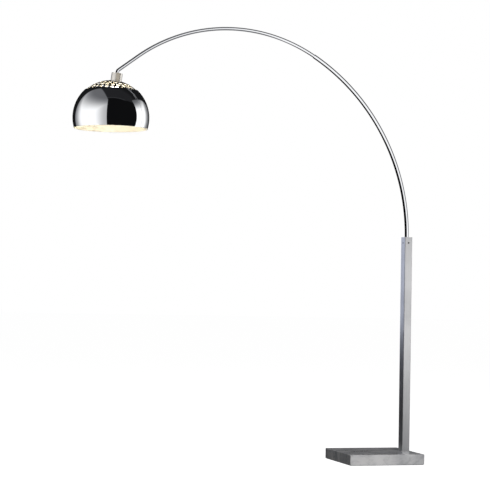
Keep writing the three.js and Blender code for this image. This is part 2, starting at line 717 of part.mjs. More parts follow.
const shellTop = HOLDER_CAVITY_TOP - 2;
const shellRadius = HOLDER_CAVITY_RADIUS - GAP;
const shell = ring(shellRadius - SHELL_WALL, shellRadius, HOLDER_BOTTOM + 1, shellTop);
add("holder_screw_shell", shell, brass(), head);
const contactTop = HOLDER_CAVITY_TOP - GAP;
add("holder_contact", bar(8, contactTop - 1, contactTop, 16), brass(), head);

// ---------------------------------------------------------------- bulb

const tipTop = contactTop - 1 - GAP;
add("bulb_contact", bar(4.5, BULB_CAP_TOP + GAP, tipTop, 16), zincSteel(), head);

/** Screw cap with rolled rings in its side. */
function buildBulbCap() {
  const outline = [[0, BULB_CAP_TOP], [BULB_CAP_RADIUS - 4, BULB_CAP_TOP]];
  const rings = 4;
  const pitch = (BULB_CAP_HEIGHT - 3) / rings;
  for (let i = 0; i < rings; i += 1) {
    const z = BULB_CAP_TOP - 1.5 - pitch * i;
    outline.push([BULB_CAP_RADIUS - 1, z], [BULB_CAP_RADIUS, z - pitch / 2]);
  }
  outline.push([BULB_CAP_RADIUS - 1, BULB_CAP_BOTTOM], [0, BULB_CAP_BOTTOM]);
  return turned(outline);
}

add("bulb_cap", buildBulbCap(), brass(), head);

/** Glass envelope, open where the cap closes it. */
function buildBulbGlass() {
  const mouth = BULB_CAP_BOTTOM - GAP;
  const globeCentre = mouth - BULB_GLASS_LENGTH + BULB_RADIUS;
  const outlineOf = (radius, neck) => {
    const globe = arcOutline(radius, 180, 60, 7).map(([r, z]) => [r, z + globeCentre]);
    globe[0][0] = 0;
    return [...globe, [neck, mouth - 12], [neck, mouth]];
  };
  const outside = outlineOf(BULB_RADIUS, BULB_CAP_RADIUS - 1);
  const inside = outlineOf(BULB_RADIUS - BULB_GLASS_WALL, BULB_CAP_RADIUS - 1 - BULB_GLASS_WALL);
  return turned([...outside, ...inside.reverse()]);
}

add("bulb_glass", buildBulbGlass(), warmGlass(), head);

// ---------------------------------------------------------------- shade

/** Perforated dome that is clamped to the lamp holder. */
function buildDome() {
  const mouth = THREE.MathUtils.radToDeg(Math.asin(DOME_MOUTH_RADIUS / DOME_RADIUS));
  const edge = DOME_EDGE_DEGREES;
  const dome = sphereZone(DOME_INNER_RADIUS, DOME_RADIUS, mouth, edge, 7, DOME_SEGMENTS);
  const cutters = [];
  for (let row = 0; row < HOLE_ROWS; row += 1) {
    const polar = (FIRST_ROW_ARC + ROW_PITCH * row) / DOME_RADIUS;
    const count = Math.floor((2 * Math.PI * DOME_RADIUS * Math.sin(polar)) / HOLE_PITCH);
    for (let i = 0; i < count; i += 1) {
      const around = (2 * Math.PI * (i + row / 2)) / count;
      const direction = new THREE.Vector3().setFromSphericalCoords(1, polar, around);
      direction.set(direction.z, direction.x, direction.y);
      const cutter = bar(HOLE_RADIUS, DOME_INNER_RADIUS - 4, DOME_RADIUS + 4, HOLE_SIDES);
      cutters.push(aimed(cutter, direction, new THREE.Vector3()));
    }
  }
  return cut(dome, cutters);
}

add("perforated_dome", buildDome(), chrome(), head);

const ringTop = heightOnSphere(DOME_INNER_RADIUS, DOME_RING_RADIUS) - 3 * GAP;
const ringInner = HOLDER_RADIUS + GAP;
const domeRing = ring(ringInner, DOME_RING_RADIUS, ringTop - DOME_RING_HEIGHT, ringTop);
add("dome_clamp_ring", domeRing, nylon(), head);

const glideInner = DOME_RADIUS + (GLIDE_SPACE - GLIDE_RING_THICKNESS) / 2;
const glideRing = sphereZone(
  glideInner,
  glideInner + GLIDE_RING_THICKNESS,
  GLIDE_RING_DEGREES[0],
  GLIDE_RING_DEGREES[1],
  1,
);
add("glide_ring", glideRing, nylon(), head);

const rimDegrees = 90 + THREE.MathUtils.radToDeg(Math.asin(RIM_DROP / SHADE_RADIUS));
const bowl = sphereZone(BOWL_INNER_RADIUS, SHADE_RADIUS, NECK_DEGREES, rimDegrees, 10);
add("shade_bowl", bowl, chrome(), bowlPlace);

export default lamp;
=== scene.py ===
"""Looks of the arc floor lamp: fine pieces, finishes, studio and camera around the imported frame.

The frame gives every place. The round pieces are spun again at a fine step, the dome gets its round
holes, and every piece and every carried-over node gets a finish worked out from nodes.
"""

import json
import logging
import math
from collections.abc import Callable
from dataclasses import dataclass, field
from enum import Enum

import bmesh
import bpy
from mathutils import Matrix, Quaternion, Vector


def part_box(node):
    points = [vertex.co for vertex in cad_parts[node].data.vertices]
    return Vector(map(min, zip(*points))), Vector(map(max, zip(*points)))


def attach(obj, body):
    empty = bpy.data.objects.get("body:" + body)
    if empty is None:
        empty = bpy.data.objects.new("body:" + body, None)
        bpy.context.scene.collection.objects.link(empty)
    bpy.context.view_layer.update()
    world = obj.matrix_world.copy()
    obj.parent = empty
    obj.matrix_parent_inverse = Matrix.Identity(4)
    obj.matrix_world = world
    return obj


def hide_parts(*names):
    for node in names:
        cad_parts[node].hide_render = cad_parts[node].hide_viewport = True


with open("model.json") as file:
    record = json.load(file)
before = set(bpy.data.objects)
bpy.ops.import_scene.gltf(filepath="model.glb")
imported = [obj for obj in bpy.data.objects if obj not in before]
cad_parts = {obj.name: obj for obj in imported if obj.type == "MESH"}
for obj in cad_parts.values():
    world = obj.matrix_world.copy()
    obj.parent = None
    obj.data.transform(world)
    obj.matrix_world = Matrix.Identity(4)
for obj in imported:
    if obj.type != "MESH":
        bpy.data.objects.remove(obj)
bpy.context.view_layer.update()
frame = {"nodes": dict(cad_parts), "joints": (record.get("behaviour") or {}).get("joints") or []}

LOG = logging.getLogger("arc_lamp")
Outline = list[tuple[float, float]]
Colour = tuple[float, float, float]
Socket = bpy.types.NodeSocket
UP = Vector((0, 0, 1))
TUBE_SIDES = 48
NECK_BELOW_TOP = 0.01
GLOBE_ABOVE_FOOT = 0.04


class Body(Enum):
    """Moving groups of the lamp, by their names in the frame."""

    BASE = "base"
    ARM = "arm"
    GLIDE = "glide"
    BOWL = "bowl"


# ---- node graphs


class Graph:
    """Short calls that add and link nodes in one node tree."""

    def __init__(self, tree: bpy.types.NodeTree) -> None:
        """Starts on a tree, whose own nodes are removed.

        Args:
            tree: The node tree to fill.
        """
        self.tree = tree
        tree.nodes.clear()

    def add(self, kind: str, **settings: object) -> bpy.types.Node:
        """Adds a node.

        Args:
            kind: The node's type name, without its ShaderNode prefix.
            settings: Properties of the node to set.

        Returns:
            The new node.
        """
        name = kind if kind.startswith("NodeGroup") else f"ShaderNode{kind}"
        node = self.tree.nodes.new(name)
        for key, value in settings.items():
            setattr(node, key, value)
        return node

    def feed(self, socket: Socket, value: object) -> None:
        """Links a socket to another one, or sets its value.

        Args:
            socket: The input to fill.
            value: An output socket, or a plain value; a colour is an RGB tuple.
        """
        if isinstance(value, Socket):
            self.tree.links.new(value, socket)
        elif socket.type == "RGBA":
            socket.default_value = (*value, 1.0)
        else:
            socket.default_value = value

    def fill(self, node: bpy.types.Node, **values: object) -> bpy.types.Node:
        """Fills a node's inputs.

        Args:
            node: The node.
            values: Value or source socket of each input, whose name has _ for a space.

        Returns:
            The node.
        """
        for key, value in values.items():
            self.feed(node.inputs[key.replace("_", " ")], value)
        return node

    def math(self, operation: str, *values: object) -> Socket:
        """Adds a Math node.

        Args:
            operation: The operation's name.
            values: Its inputs, in order.

        Returns:
            Its output.
        """
        node = self.add("Math", operation=operation)
        for socket, value in zip(node.inputs, values):
            self.feed(socket, value)
        return node.outputs[0]

    def vector(self, operation: str, first: object, second: object) -> Socket:
        """Adds a Vector Math node with two inputs.

        Args:
            operation: The operation's name.
            first: The first vector.
            second: The second vector.

        Returns:
            Its result: a value for a dot product, or else a vector.
        """
        node = self.add("VectorMath", operation=operation)
        for socket, value in zip(node.inputs, (first, second)):
            self.feed(socket, value)
        return node.outputs["Value" if operation == "DOT_PRODUCT" else "Vector"]

    def ramp(self, value: object, old: tuple, new: tuple = (0.0, 1.0)) -> Socket:
        """Maps a value evenly from one range to another, and holds it there.

        Args:
            value: The value to map.
            old: Start and end of its range.
            new: What they become.

        Returns:
            The mapped value.
        """
        return self.remap(value, old, new, "LINEAR")

    def ease(self, value: object, old: tuple, new: tuple = (0.0, 1.0)) -> Socket:
        """Maps a value like ramp, but eases in and out."""
        return self.remap(value, old, new, "SMOOTHSTEP")

    def remap(self, value: object, old: tuple, new: tuple, kind: str) -> Socket:
        """Adds a Map Range node, for ramp and ease.

        Args:
            value: The value to map.
            old: Start and end of its range.
            new: What they become.
            kind: The node's interpolation.

        Returns:
            The mapped value.
        """
        node = self.add("MapRange", interpolation_type=kind)
        for socket, item in zip(node.inputs, (value, *old, *new)):
            self.feed(socket, item)
        return node.outputs[0]

    def mix(self, factor: object, first: object, second: object) -> Socket:
        """Mixes two colours.

        Args:
            factor: 0 for the first colour, 1 for the second.
            first: The first colour, an RGB tuple or a socket.
            second: The second colour.

        Returns:
            The mixed colour.
        """
        node = self.add("Mix", data_type="RGBA")
        self.feed(node.inputs["Factor"], factor)
        for socket, value in zip(node.inputs[6:8], (first, second)):
            self.feed(socket, value)
        return node.outputs[2]

    def noise(self, vector: object, scale: object, detail: float, rough: float = 0.5) -> Socket:
        """Adds a Noise texture.

        Args:
            vector: Where to read it.
            scale: Its scale, per metre.
            detail: How many octaves it has.
            rough: How strong the fine octaves are.

        Returns:
            Its value, from 0 to 1.
        """
        node = self.add("TexNoise")
        self.fill(node, Vector=vector, Scale=scale, Detail=detail, Roughness=rough)
        return node.outputs["Fac"]

    def show(self, *shaders: bpy.types.Node) -> None:
        """Sends one shader, or two added together, to the material's output.

        Args:
            shaders: The nodes of the shaders.
        """
        total = shaders[0]
        if len(shaders) == 2:
            total = self.add("AddShader")
            for socket, shader in zip(total.inputs, shaders):
                self.feed(socket, shader.outputs[0])
        self.fill(self.add("OutputMaterial"), Surface=total.outputs[0])


def new_material(name: str) -> tuple[bpy.types.Material, Graph]:
    """Starts a material with an empty graph.

    Args:
        name: The material's name.

    Returns:
        The material and its graph.
    """
    material = bpy.data.materials.new(name)
    material.use_nodes = True
    return material, Graph(material.node_tree)


class NodeGroup:
    """A shared shader node group under construction."""

    def __init__(self, name: str, inputs: dict[str, object], *outputs: str) -> None:
        """Starts the group, whose first input is always the vector to read patterns at.

        Args:
            name: The group's name.
            inputs: Default value of each further input.
            outputs: Names of the outputs.
        """
        self.tree = bpy.data.node_groups.new(name, "ShaderNodeTree")
        face = self.tree.interface
        face.new_socket("Vector", in_out="INPUT", socket_type="NodeSocketVector")
        for key, value in inputs.items():
            socket = face.new_socket(key, in_out="INPUT", socket_type="NodeSocketFloat")
            socket.default_value = value
        for key in outputs:
            face.new_socket(key, in_out="OUTPUT", socket_type="NodeSocketFloat")
        self.graph = Graph(self.tree)
        self.source = self.graph.add("NodeGroupInput").outputs
        self.result = self.graph.add("NodeGroupOutput")

    def finish(self, **values: Socket) -> bpy.types.NodeTree:
        """Fills the group's outputs and returns its tree."""
        self.graph.fill(self.result, **values)
        return self.tree


def handling_marks_group() -> bpy.types.NodeTree:
    """Builds faint wipe marks and dust specks, which roughen a polished surface.

    Returns:
        The group, with outputs Roughness and Marks.
    """
    inputs = {"Roughness": 0.05, "Spread": 0.05, "Scale": 12.0}
    group = NodeGroup("handling_marks", inputs, "Roughness", "Marks")
    graph, source = group.graph, group.source
    wipes = graph.noise(source["Vector"], source["Scale"], 5.0, 0.6)
    wide = graph.vector("MULTIPLY", source["Vector"], (1.0, 1.0, 6.0))
    specks = graph.ramp(graph.noise(wide, 220.0, 2.0, 0.7), (0.66, 0.76))
    marks = graph.ease(wipes, (0.42, 0.7))
    marks = graph.math("MAXIMUM", marks, graph.math("MULTIPLY", specks, 0.6))
    added = graph.math("MULTIPLY", marks, source["Spread"])
    return group.finish(Roughness=graph.math("ADD", source["Roughness"], added), Marks=marks)


def brushed_grain_group() -> bpy.types.NodeTree:
    """Builds the fine parallel scratches of brushed metal, long along the vector's Z.

    Returns:
        The group, with outputs Roughness, Height and Tone.
    """
    inputs = {"Roughness": 0.3, "Spread": 0.15, "Fineness": 1400.0}
    group = NodeGroup("brushed_grain", inputs, "Roughness", "Height", "Tone")
    graph, source = group.graph, group.source
    drawn = graph.vector("MULTIPLY", source["Vector"], (1.0, 1.0, 0.012))
    fine = graph.math("MULTIPLY", graph.noise(drawn, source["Fineness"], 3.0, 0.7), 0.65)
    coarse = graph.math("MULTIPLY", graph.noise(drawn, 160.0, 2.0), 0.35)
    grain = graph.math("ADD", fine, coarse)
    spread = graph.math("MULTIPLY", graph.math("SUBTRACT", grain, 0.5), source["Spread"])
    rough = graph.math("ADD", source["Roughness"], spread)
    return group.finish(Roughness=rough, Height=grain, Tone=graph.ramp(grain, (0.3, 0.7)))


def fibre_group() -> bpy.types.NodeTree:
    """Builds short matted fibres, for felt and for moulded plastic's fine skin.

    Returns:
        The group, with outputs Height and Tone.
    """
    group = NodeGroup("matted_fibres", {"Scale": 900.0}, "Height", "Tone")
    graph, source = group.graph, group.source
    fine = graph.noise(source["Vector"], source["Scale"], 4.0, 0.75)
    patch = graph.math("MULTIPLY", graph.noise(source["Vector"], 18.0, 3.0), 0.4)
    tone = graph.math("ADD", graph.math("MULTIPLY", fine, 0.6), patch)
    return group.finish(Height=fine, Tone=graph.ramp(tone, (0.3, 0.7)))


class Groups:
    """The shared node groups, each built once."""

    def __init__(self) -> None:
        """Builds every group."""
        self.marks = handling_marks_group()
        self.grain = brushed_grain_group()
        self.fibres = fibre_group()


class Surface:
    """One material under construction: its graph, its shader and the piece's own coordinates."""

    def __init__(self, name: str, groups: Groups) -> None:
        """Starts a material with a Principled shader.

        Args:
            name: The material's name.
            groups: The shared node groups.
        """
        self.groups = groups
        self.material, self.graph = new_material(name)
        self.shader = self.graph.add("BsdfPrincipled")
        self.graph.show(self.shader)
        self.place = self.graph.add("TexCoord").outputs["Object"]

    def set(self, **values: object) -> None:
        """Fills sockets of the shader, whose names are given with _ for a space."""
        self.graph.fill(self.shader, **values)

    def group(self, tree: bpy.types.NodeTree, **values: object) -> bpy.types.NodeOutputs:
        """Adds a shared group that reads the piece's own coordinates.

        Args:
            tree: The group.
            values: Its inputs.

        Returns:
            The group's outputs.
        """
        node = self.graph.add("Group", node_tree=tree)
        return self.graph.fill(node, Vector=self.place, **values).outputs

    def marks(self, rough: float, spread: float, scale: float = 12.0) -> bpy.types.NodeOutputs:
        """Adds wipe marks over a roughness.

        Args:
            rough: The roughness of the clean surface.
            spread: How much the marks add to it.
            scale: Their scale, per metre.

        Returns:
            The outputs Roughness and Marks.
        """
        return self.group(self.groups.marks, Roughness=rough, Spread=spread, Scale=scale)

    def bump(self, height: Socket, strength: float, distance: float) -> Socket:
        """Turns a height into a normal.

        Args:
            height: The height's socket.
            strength: How strong the bump is.
            distance: Its depth, in metres.

        Returns:
            The normal.
        """
        node = self.graph.add("Bump")
        self.graph.fill(node, Strength=strength, Distance=distance, Height=height)
        return node.outputs["Normal"]


# ---- finishes


@dataclass(frozen=True)
class Finish:
    """A finish of the lamp, built as one material."""

    name: str

    def build(self, groups: Groups) -> bpy.types.Material:
        """Builds the material.

        Args:
            groups: The shared node groups.

        Returns:
            The material.
        """
        surface = Surface(self.name, groups)
        self.paint(surface)
        return surface.material

    def paint(self, surface: Surface) -> None:
        """Fills the material; each kind of finish has its own way."""
        raise NotImplementedError


@dataclass(frozen=True)
class Chrome(Finish):
    """Mirror plating over sheet or tube, with faint wipe marks."""

    colour: Colour = (0.86, 0.87, 0.89)
    roughness: float = 0.015
    spread: float = 0.035
    fading: float = 0.94

    def paint(self, surface: Surface) -> None:
        """Fills the material.

        Args:
            surface: The material under construction.
        """
        marks = surface.marks(self.roughness, self.spread)
        faded = tuple(self.fading * part for part in self.colour)
        tint = surface.graph.mix(marks["Marks"], self.colour, faded)
        surface.set(Base_Color=tint, Metallic=1.0, Roughness=marks["Roughness"])


@dataclass(frozen=True)
class BrushedMetal(Finish):
    """Metal with a drawn grain along its length."""

    light: Colour
    dark: Colour
    roughness: float = 0.3
    metallic: float = 1.0
    depth: float = 0.00002

    def paint(self, surface: Surface) -> None:
        """Fills the material.

        Args:
            surface: The material under construction.
        """
        grain = surface.group(surface.groups.grain, Roughness=self.roughness)
        marks = surface.marks(0.0, 0.08, 7.0)
        tone = surface.graph.mix(grain["Tone"], self.dark, self.light)
        rough = surface.graph.math("ADD", grain["Roughness"], marks["Roughness"])
        normal = surface.bump(grain["Height"], 0.25, self.depth)
        surface.set(Base_Color=tone, Metallic=self.metallic, Roughness=rough, Normal=normal)


@dataclass(frozen=True)
class Marble(Finish):
    """Polished grey-white stone with soft clouds, diagonal veins and fine crystals."""

    light: Colour = (0.70, 0.70, 0.72)
    cloud: Colour = (0.44, 0.45, 0.48)
    vein: Colour = (0.22, 0.23, 0.26)
    crystal: Colour = (0.82, 0.82, 0.83)
    veins: tuple = ((3.2, 22.0, 0.5), (8.5, 30.0, 0.28))

    def paint(self, surface: Surface) -> None:
        """Fills the material; each of the veins has a scale, a sharpness and a weight.

        Args:
            surface: The material under construction.
        """
        graph = surface.graph
        turned = graph.fill(
            graph.add("Mapping"),
            Vector=surface.place,
            Rotation=(0.5, 0.35, 0.7),
            Scale=(1.0, 2.6, 1.4),
        )
        place = turned.outputs[0]
        bend = graph.fill(graph.add("TexNoise"), Vector=place, Scale=5.0, Detail=4.0)
        pull = graph.vector("MULTIPLY", bend.outputs["Color"], (0.16, 0.16, 0.16))
        bent = graph.vector("ADD", place, pull)
        clouds = graph.ease(graph.noise(bent, 4.5, 6.0, 0.6), (0.38, 0.68))
        stone = graph.mix(clouds, self.light, self.cloud)
        for scale, sharp, weight in self.veins:
            value = graph.noise(bent, scale, 7.0, 0.55)
            ridge = graph.math("ABSOLUTE", graph.math("SUBTRACT", value, 0.5))
            line = graph.math("EXPONENT", graph.math("MULTIPLY", ridge, -2.0 * sharp))
            stone = graph.mix(graph.math("MULTIPLY", line, weight), stone, self.vein)
        crystals = graph.ramp(graph.noise(surface.place, 700.0, 2.0), (0.35, 0.7), (0.0, 0.16))
        stone = graph.mix(crystals, stone, self.crystal)
        rough = surface.marks(0.09, 0.1, 9.0)["Roughness"]
        normal = surface.bump(graph.noise(bent, 30.0, 3.0), 0.04, 0.0004)
        surface.set(Base_Color=stone, Roughness=rough, Normal=normal)
        surface.set(Specular_IOR_Level=0.5, IOR=1.5)


@dataclass(frozen=True)
class Moulded(Finish):
    """Plastic, rubber, enamel, glazed clay or felt: a skin with its own fine texture."""

    colour: Colour
    shade: Colour
    roughness: float = 0.5
    texture: float = 900.0
    depth: float = 0.00003
    strength: float = 0.2
    coat: float = 0.0
    sheen: float = 0.0

    def paint(self, surface: Surface) -> None:
        """Fills the material.

        Args:
            surface: The material under construction.
        """
        fibres = surface.group(surface.groups.fibres, Scale=self.texture)
        rough = surface.marks(self.roughness, 0.12, 10.0)["Roughness"]
        tone = surface.graph.mix(fibres["Tone"], self.shade, self.colour)
        normal = surface.bump(fibres["Height"], self.strength, self.depth)
        surface.set(Base_Color=tone, Roughness=rough, Normal=normal)
        surface.set(Coat_Weight=self.coat, Sheen_Weight=self.sheen)


@dataclass(frozen=True)
class LitGlass(Finish):
    """Opal bulb glass, brighter in its middle than at its neck."""

    neck: float
    globe: float
    glass: Colour = (0.95, 0.93, 0.88)
    glow: Colour = (1.0, 0.99, 0.93)
    neck_glow: Colour = (0.038, 0.032, 0.022)
    strength: float = 34.0

    def paint(self, surface: Surface) -> None:
        """Fills the material, which brightens from the height of the neck to the globe's.

        Args:
            surface: The material under construction.
        """
        graph = surface.graph
        rough = surface.marks(0.25, 0.1)["Roughness"]
        height = graph.add("SeparateXYZ")
        graph.feed(height.inputs[0], surface.place)
        lit = graph.ease(height.outputs[2], (self.neck, self.globe))
        glow = graph.mix(lit, self.neck_glow, self.glow)
        surface.set(Base_Color=self.glass, Roughness=rough)
        surface.set(Emission_Color=glow, Emission_Strength=self.strength)


class Palette:
    """Every finish of the lamp, built once."""

    def __init__(self, bulb_neck: float, bulb_middle: float) -> None:
        """Builds the materials.

        Args:
            bulb_neck: Height of the bulb's neck.
            bulb_middle: Height of the middle of its globe.
        """
        groups = Groups()
        self.mirror = Chrome("mirror_chrome").build(groups)
        self.tube = Chrome("tube_chrome", roughness=0.03, spread=0.04).build(groups)
        self.pierced = Chrome("pierced_chrome", (0.80, 0.78, 0.74), 0.06, 0.05).build(groups)
        self.post = BrushedMetal(
            "brushed_steel", (0.72, 0.72, 0.72), (0.58, 0.58, 0.59), 0.34, metallic=0.85
        ).build(groups)
        self.cup = BrushedMetal(
            "satin_nickel", (0.88, 0.85, 0.80), (0.76, 0.73, 0.68), 0.32, metallic=0.85
        ).build(groups)
        self.zinc = BrushedMetal(
            "zinc_steel", (0.56, 0.57, 0.58), (0.42, 0.43, 0.45), 0.4
        ).build(groups)
        self.brass = BrushedMetal(
            "plain_brass", (0.78, 0.6, 0.28), (0.62, 0.46, 0.2), 0.32
        ).build(groups)
        self.screw = BrushedMetal(
            "black_oxide", (0.09, 0.09, 0.1), (0.04, 0.04, 0.045), 0.45
        ).build(groups)
        self.marble = Marble("polished_marble").build(groups)
        self.felt = Moulded(
            "dark_felt",
            (0.05, 0.05, 0.055),
            (0.02, 0.02, 0.022),
            roughness=0.95,
            texture=1500.0,
            depth=0.0006,
            strength=0.8,
            sheen=0.4,
        ).build(groups)
        self.rubber = Moulded(
            "black_rubber", (0.03, 0.03, 0.032), (0.018, 0.018, 0.02), 0.7
        ).build(groups)
        self.jacket = Moulded("cable_jacket", (0.04, 0.04, 0.042), (0.03, 0.03, 0.03)).build(groups)
        self.nylon = Moulded(
            "natural_nylon", (0.72, 0.7, 0.64), (0.62, 0.6, 0.54), 0.45
        ).build(groups)
        self.porcelain = Moulded(
            "glazed_porcelain",
            (0.52, 0.5, 0.45),
            (0.46, 0.44, 0.39),
            roughness=0.2,
            texture=60.0,
            depth=0.0001,
            strength=0.1,
            coat=0.6,
        ).build(groups)
        skin = {"texture": 260.0, "depth": 0.00008, "strength": 0.12}
        self.enamel = Moulded(
            "warm_enamel", (0.93, 0.88, 0.76), (0.9, 0.84, 0.7), 0.35, coat=0.2, **skin
        ).build(groups)
        # A darker copy of the warm enamel for the dome's inner side: painted shade standing in for
        # the dimmer light there.
        self.painted_shade_enamel = Moulded(
            "shaded_enamel", (0.38, 0.34, 0.265), (0.32, 0.285, 0.22), **skin
        ).build(groups)
        self.bulb = LitGlass("lit_opal_glass", bulb_neck, bulb_middle).build(groups)


# ---- shapes


class Shape:
    """A mesh in the making, with the few steps that the pieces share."""

    def __init__(self) -> None:
        """Starts empty."""
        self.mesh = bmesh.new()

    def spin(self, outline: Outline, segments: int) -> "Shape":
        """Turns a closed outline of (radius, height) points about the Z axis.

        Args:
            outline: The outline's points, in order.
            segments: How many steps make the full turn.

        Returns:
            This shape.
        """
        points = [self.mesh.verts.new((radius, 0.0, height)) for radius, height in outline]
        edges = [self.mesh.edges.new(pair) for pair in zip(points, points[1:] + points[:1])]
        turn = {"axis": UP, "cent": (0, 0, 0), "angle": 2 * math.pi, "steps": segments}
        bmesh.ops.spin(self.mesh, geom=points + edges, use_merge=True, **turn)
        bmesh.ops.remove_doubles(self.mesh, verts=self.mesh.verts, dist=1e-7)
        return self

    def close(self) -> "Shape":
        """Makes the faces of a closed shape point outwards."""
        bmesh.ops.recalc_face_normals(self.mesh, faces=self.mesh.faces)
        return self

    def move(self, matrix: Matrix) -> "Shape":
        """Moves the whole shape by a matrix."""
        bmesh.ops.transform(self.mesh, matrix=matrix, verts=self.mesh.verts)
        return self

    def ring(self, radius: float, matrix: Matrix) -> list:
        """Starts a ring of edges.

        Args:
            radius: The ring's radius.
            matrix: Its place; it lies in the matrix's XY plane.

        Returns:
            Its edges.
        """
        made = bmesh.ops.create_circle(self.mesh, segments=TUBE_SIDES, radius=radius, matrix=matrix)
        return list({edge for vert in made["verts"] for edge in vert.link_edges})

    def push(self, loop: list, travel: Vector) -> list:
        """Extrudes a ring of edges in a straight line.

        Args:
            loop: The ring's edges.
            travel: How far and which way it goes.

        Returns:
            The edges of the new ring.
        """
        made = bmesh.ops.extrude_edge_only(self.mesh, edges=loop)["geom"]
        points = [item for item in made if isinstance(item, bmesh.types.BMVert)]
        bmesh.ops.translate(self.mesh, verts=points, vec=travel)
        return [item for item in made if isinstance(item, bmesh.types.BMEdge)]

    def bend(self, loop: list, axis: tuple, centre: Vector, degrees: float, steps: int) -> list:
        """Spins a ring of edges about a bend's centre.

        Args:
            loop: The ring's edges.
            axis: The axis it turns about.
            centre: The bend's centre.
            degrees: How far it turns.
            steps: How many steps it takes.

        Returns:
            The edges of the ring at the bend's end.
        """
        points = list({vert for edge in loop for vert in edge.verts})
        angle = math.radians(degrees)
        made = bmesh.ops.spin(
            self.mesh, geom=points + loop, axis=axis, cent=centre, angle=angle, steps=steps
        )
        return [item for item in made["geom_last"] if isinstance(item, bmesh.types.BMEdge)]

    def finish(self, name: str, materials: list, sharp_degrees: float = 35.0) -> bpy.types.Object:
        """Writes the shape to an object, smooth but for its sharp edges.

        Args:
            name: The object's name.
            materials: Its materials, in slot order.
            sharp_degrees: Edges that turn by more than this stay sharp.

        Returns:
            The object, linked to the scene.
        """
        data = bpy.data.meshes.new(name)
        self.mesh.to_mesh(data)
        self.mesh.free()
        data.shade_smooth()
        data.set_sharp_from_angle(angle=math.radians(sharp_degrees))
        for material in materials:
            data.materials.append(material)
        piece = bpy.data.objects.new(name, data)
        bpy.context.scene.collection.objects.link(piece)
        return piece


def turned(
    name: str, outline: Outline, segments: int, matrix: Matrix, material: bpy.types.Material
) -> bpy.types.Object:
    """Makes a closed piece of one finish, turned on a lathe.

    Args:
        name: The piece's name.
        outline: Its closed outline of (radius, height) points.
        segments: How many steps make the full turn.
        matrix: Its place.
        material: Its finish.

    Returns:
        The piece.
    """
    return Shape().spin(outline, segments).close().move(matrix).finish(name, [material])


def turn_to(direction: Vector) -> Matrix:
    """Finds the turn that lays the Z axis along a direction."""
    return UP.rotation_difference(direction).to_matrix().to_4x4()


def arc(radius: float, start: float, end: float, steps: int, centre: float = 0.0) -> Outline:
    """Works out points on a circle about the axis point at height `centre`.

    Args:
        radius: The circle's radius.
        start: First angle from the axis, in degrees.
        end: Last angle.
        steps: How many steps lie between them.
        centre: Height of the circle's centre.

    Returns:
        The (radius, height) points.
    """
    angles = [math.radians(start + (end - start) * i / steps) for i in range(steps + 1)]
    return [(max(0.0, radius * math.sin(a)), centre + radius * math.cos(a)) for a in angles]


def curve(start: Vector, control: Vector, end: Vector, steps: int) -> Outline:
    """Works out the points of a quadratic curve.

    Args:
        start: Its first point.
        control: Where its end tangents meet.
        end: Its last point.
        steps: How many steps it takes.

    Returns:
        The points.
    """
    parts = [i / steps for i in range(steps + 1)]
    spots = [start.lerp(control, t).lerp(control.lerp(end, t), t) for t in parts]
    return [(spot.x, spot.y) for spot in spots]


def rounded(outline: Outline, radius: float, steps: int = 3) -> Outline:
    """Rounds the square corners of an outline, where both its sides are long enough.

    Args:
        outline: Points of a closed outline.
        radius: Radius of the corners.
        steps: How many steps each corner takes.

    Returns:
        The new points.
    """
    result: Outline = []
    for before, point, after in zip(outline[-1:] + outline, outline, outline[1:] + outline[:1]):
        here = Vector(point)
        back = Vector(before) - here
        on = Vector(after) - here
        if point[0] < radius or min(back.length, on.length) < 2.2 * radius:
            result.append(point)
            continue
        start = here + back.normalized() * radius
        end = here + on.normalized() * radius
        result += curve(start, here, end, steps)
    return result


def rolled(radius: float, depth: float, low: float, high: float, turns: int, steps: int) -> Outline:
    """Works out the side of a sheet sleeve with rolled thread rings.

    Args:
        radius: Its largest radius.
        depth: How deep the rings are.
        low: Its lower end.
        high: Its upper end.
        turns: How many rings it has.
        steps: How many steps the side takes.

    Returns:
        The (radius, height) points, from the lower end up.
    """
    waves = [0.5 - 0.5 * math.cos(2 * math.pi * turns * i / steps) for i in range(steps + 1)]
    return [
        (radius - depth * wave, low + (high - low) * i / steps) for i, wave in enumerate(waves)
    ]


def place_piece(piece: bpy.types.Object, body: Body, slot: str, *nodes: str) -> bpy.types.Object:
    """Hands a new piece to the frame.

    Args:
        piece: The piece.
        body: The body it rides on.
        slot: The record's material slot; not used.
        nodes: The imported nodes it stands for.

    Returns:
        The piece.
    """
    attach(piece, body.value)
    if nodes:
        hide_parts(*nodes)
    LOG.info("%s: %d faces, on %s", piece.name, len(piece.data.polygons), body.value)
    return piece


def dress(material: bpy.types.Material, *nodes: str) -> None:
    """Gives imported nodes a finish.

    Args:
        material: The finish.
        nodes: The nodes' names.
    """
    for name in nodes:
        slots = frame["nodes"][name].data.materials
        slots.clear()
        slots.append(material)
        LOG.info("%s: %s", name, material.name)


def joint(name: str) -> dict:
    """Finds a joint of the frame by its name."""
    return next(item for item in frame["joints"] if item["name"] == name)


# ---- slab and post


@dataclass
class Slab:
    """Stone slab, its felt and the fixings under it, all as packed."""

    palette: Palette

    def build(self) -> None:
        """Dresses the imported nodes."""
        dress(self.palette.marble, "marble_base")
        dress(self.palette.felt, "felt_pad")
        dress(self.palette.zinc, "clamp_plate")
        for side in ("front", "rear"):
            dress(self.palette.zinc, f"clamp_bolt_{side}", f"clamp_washer_{side}")


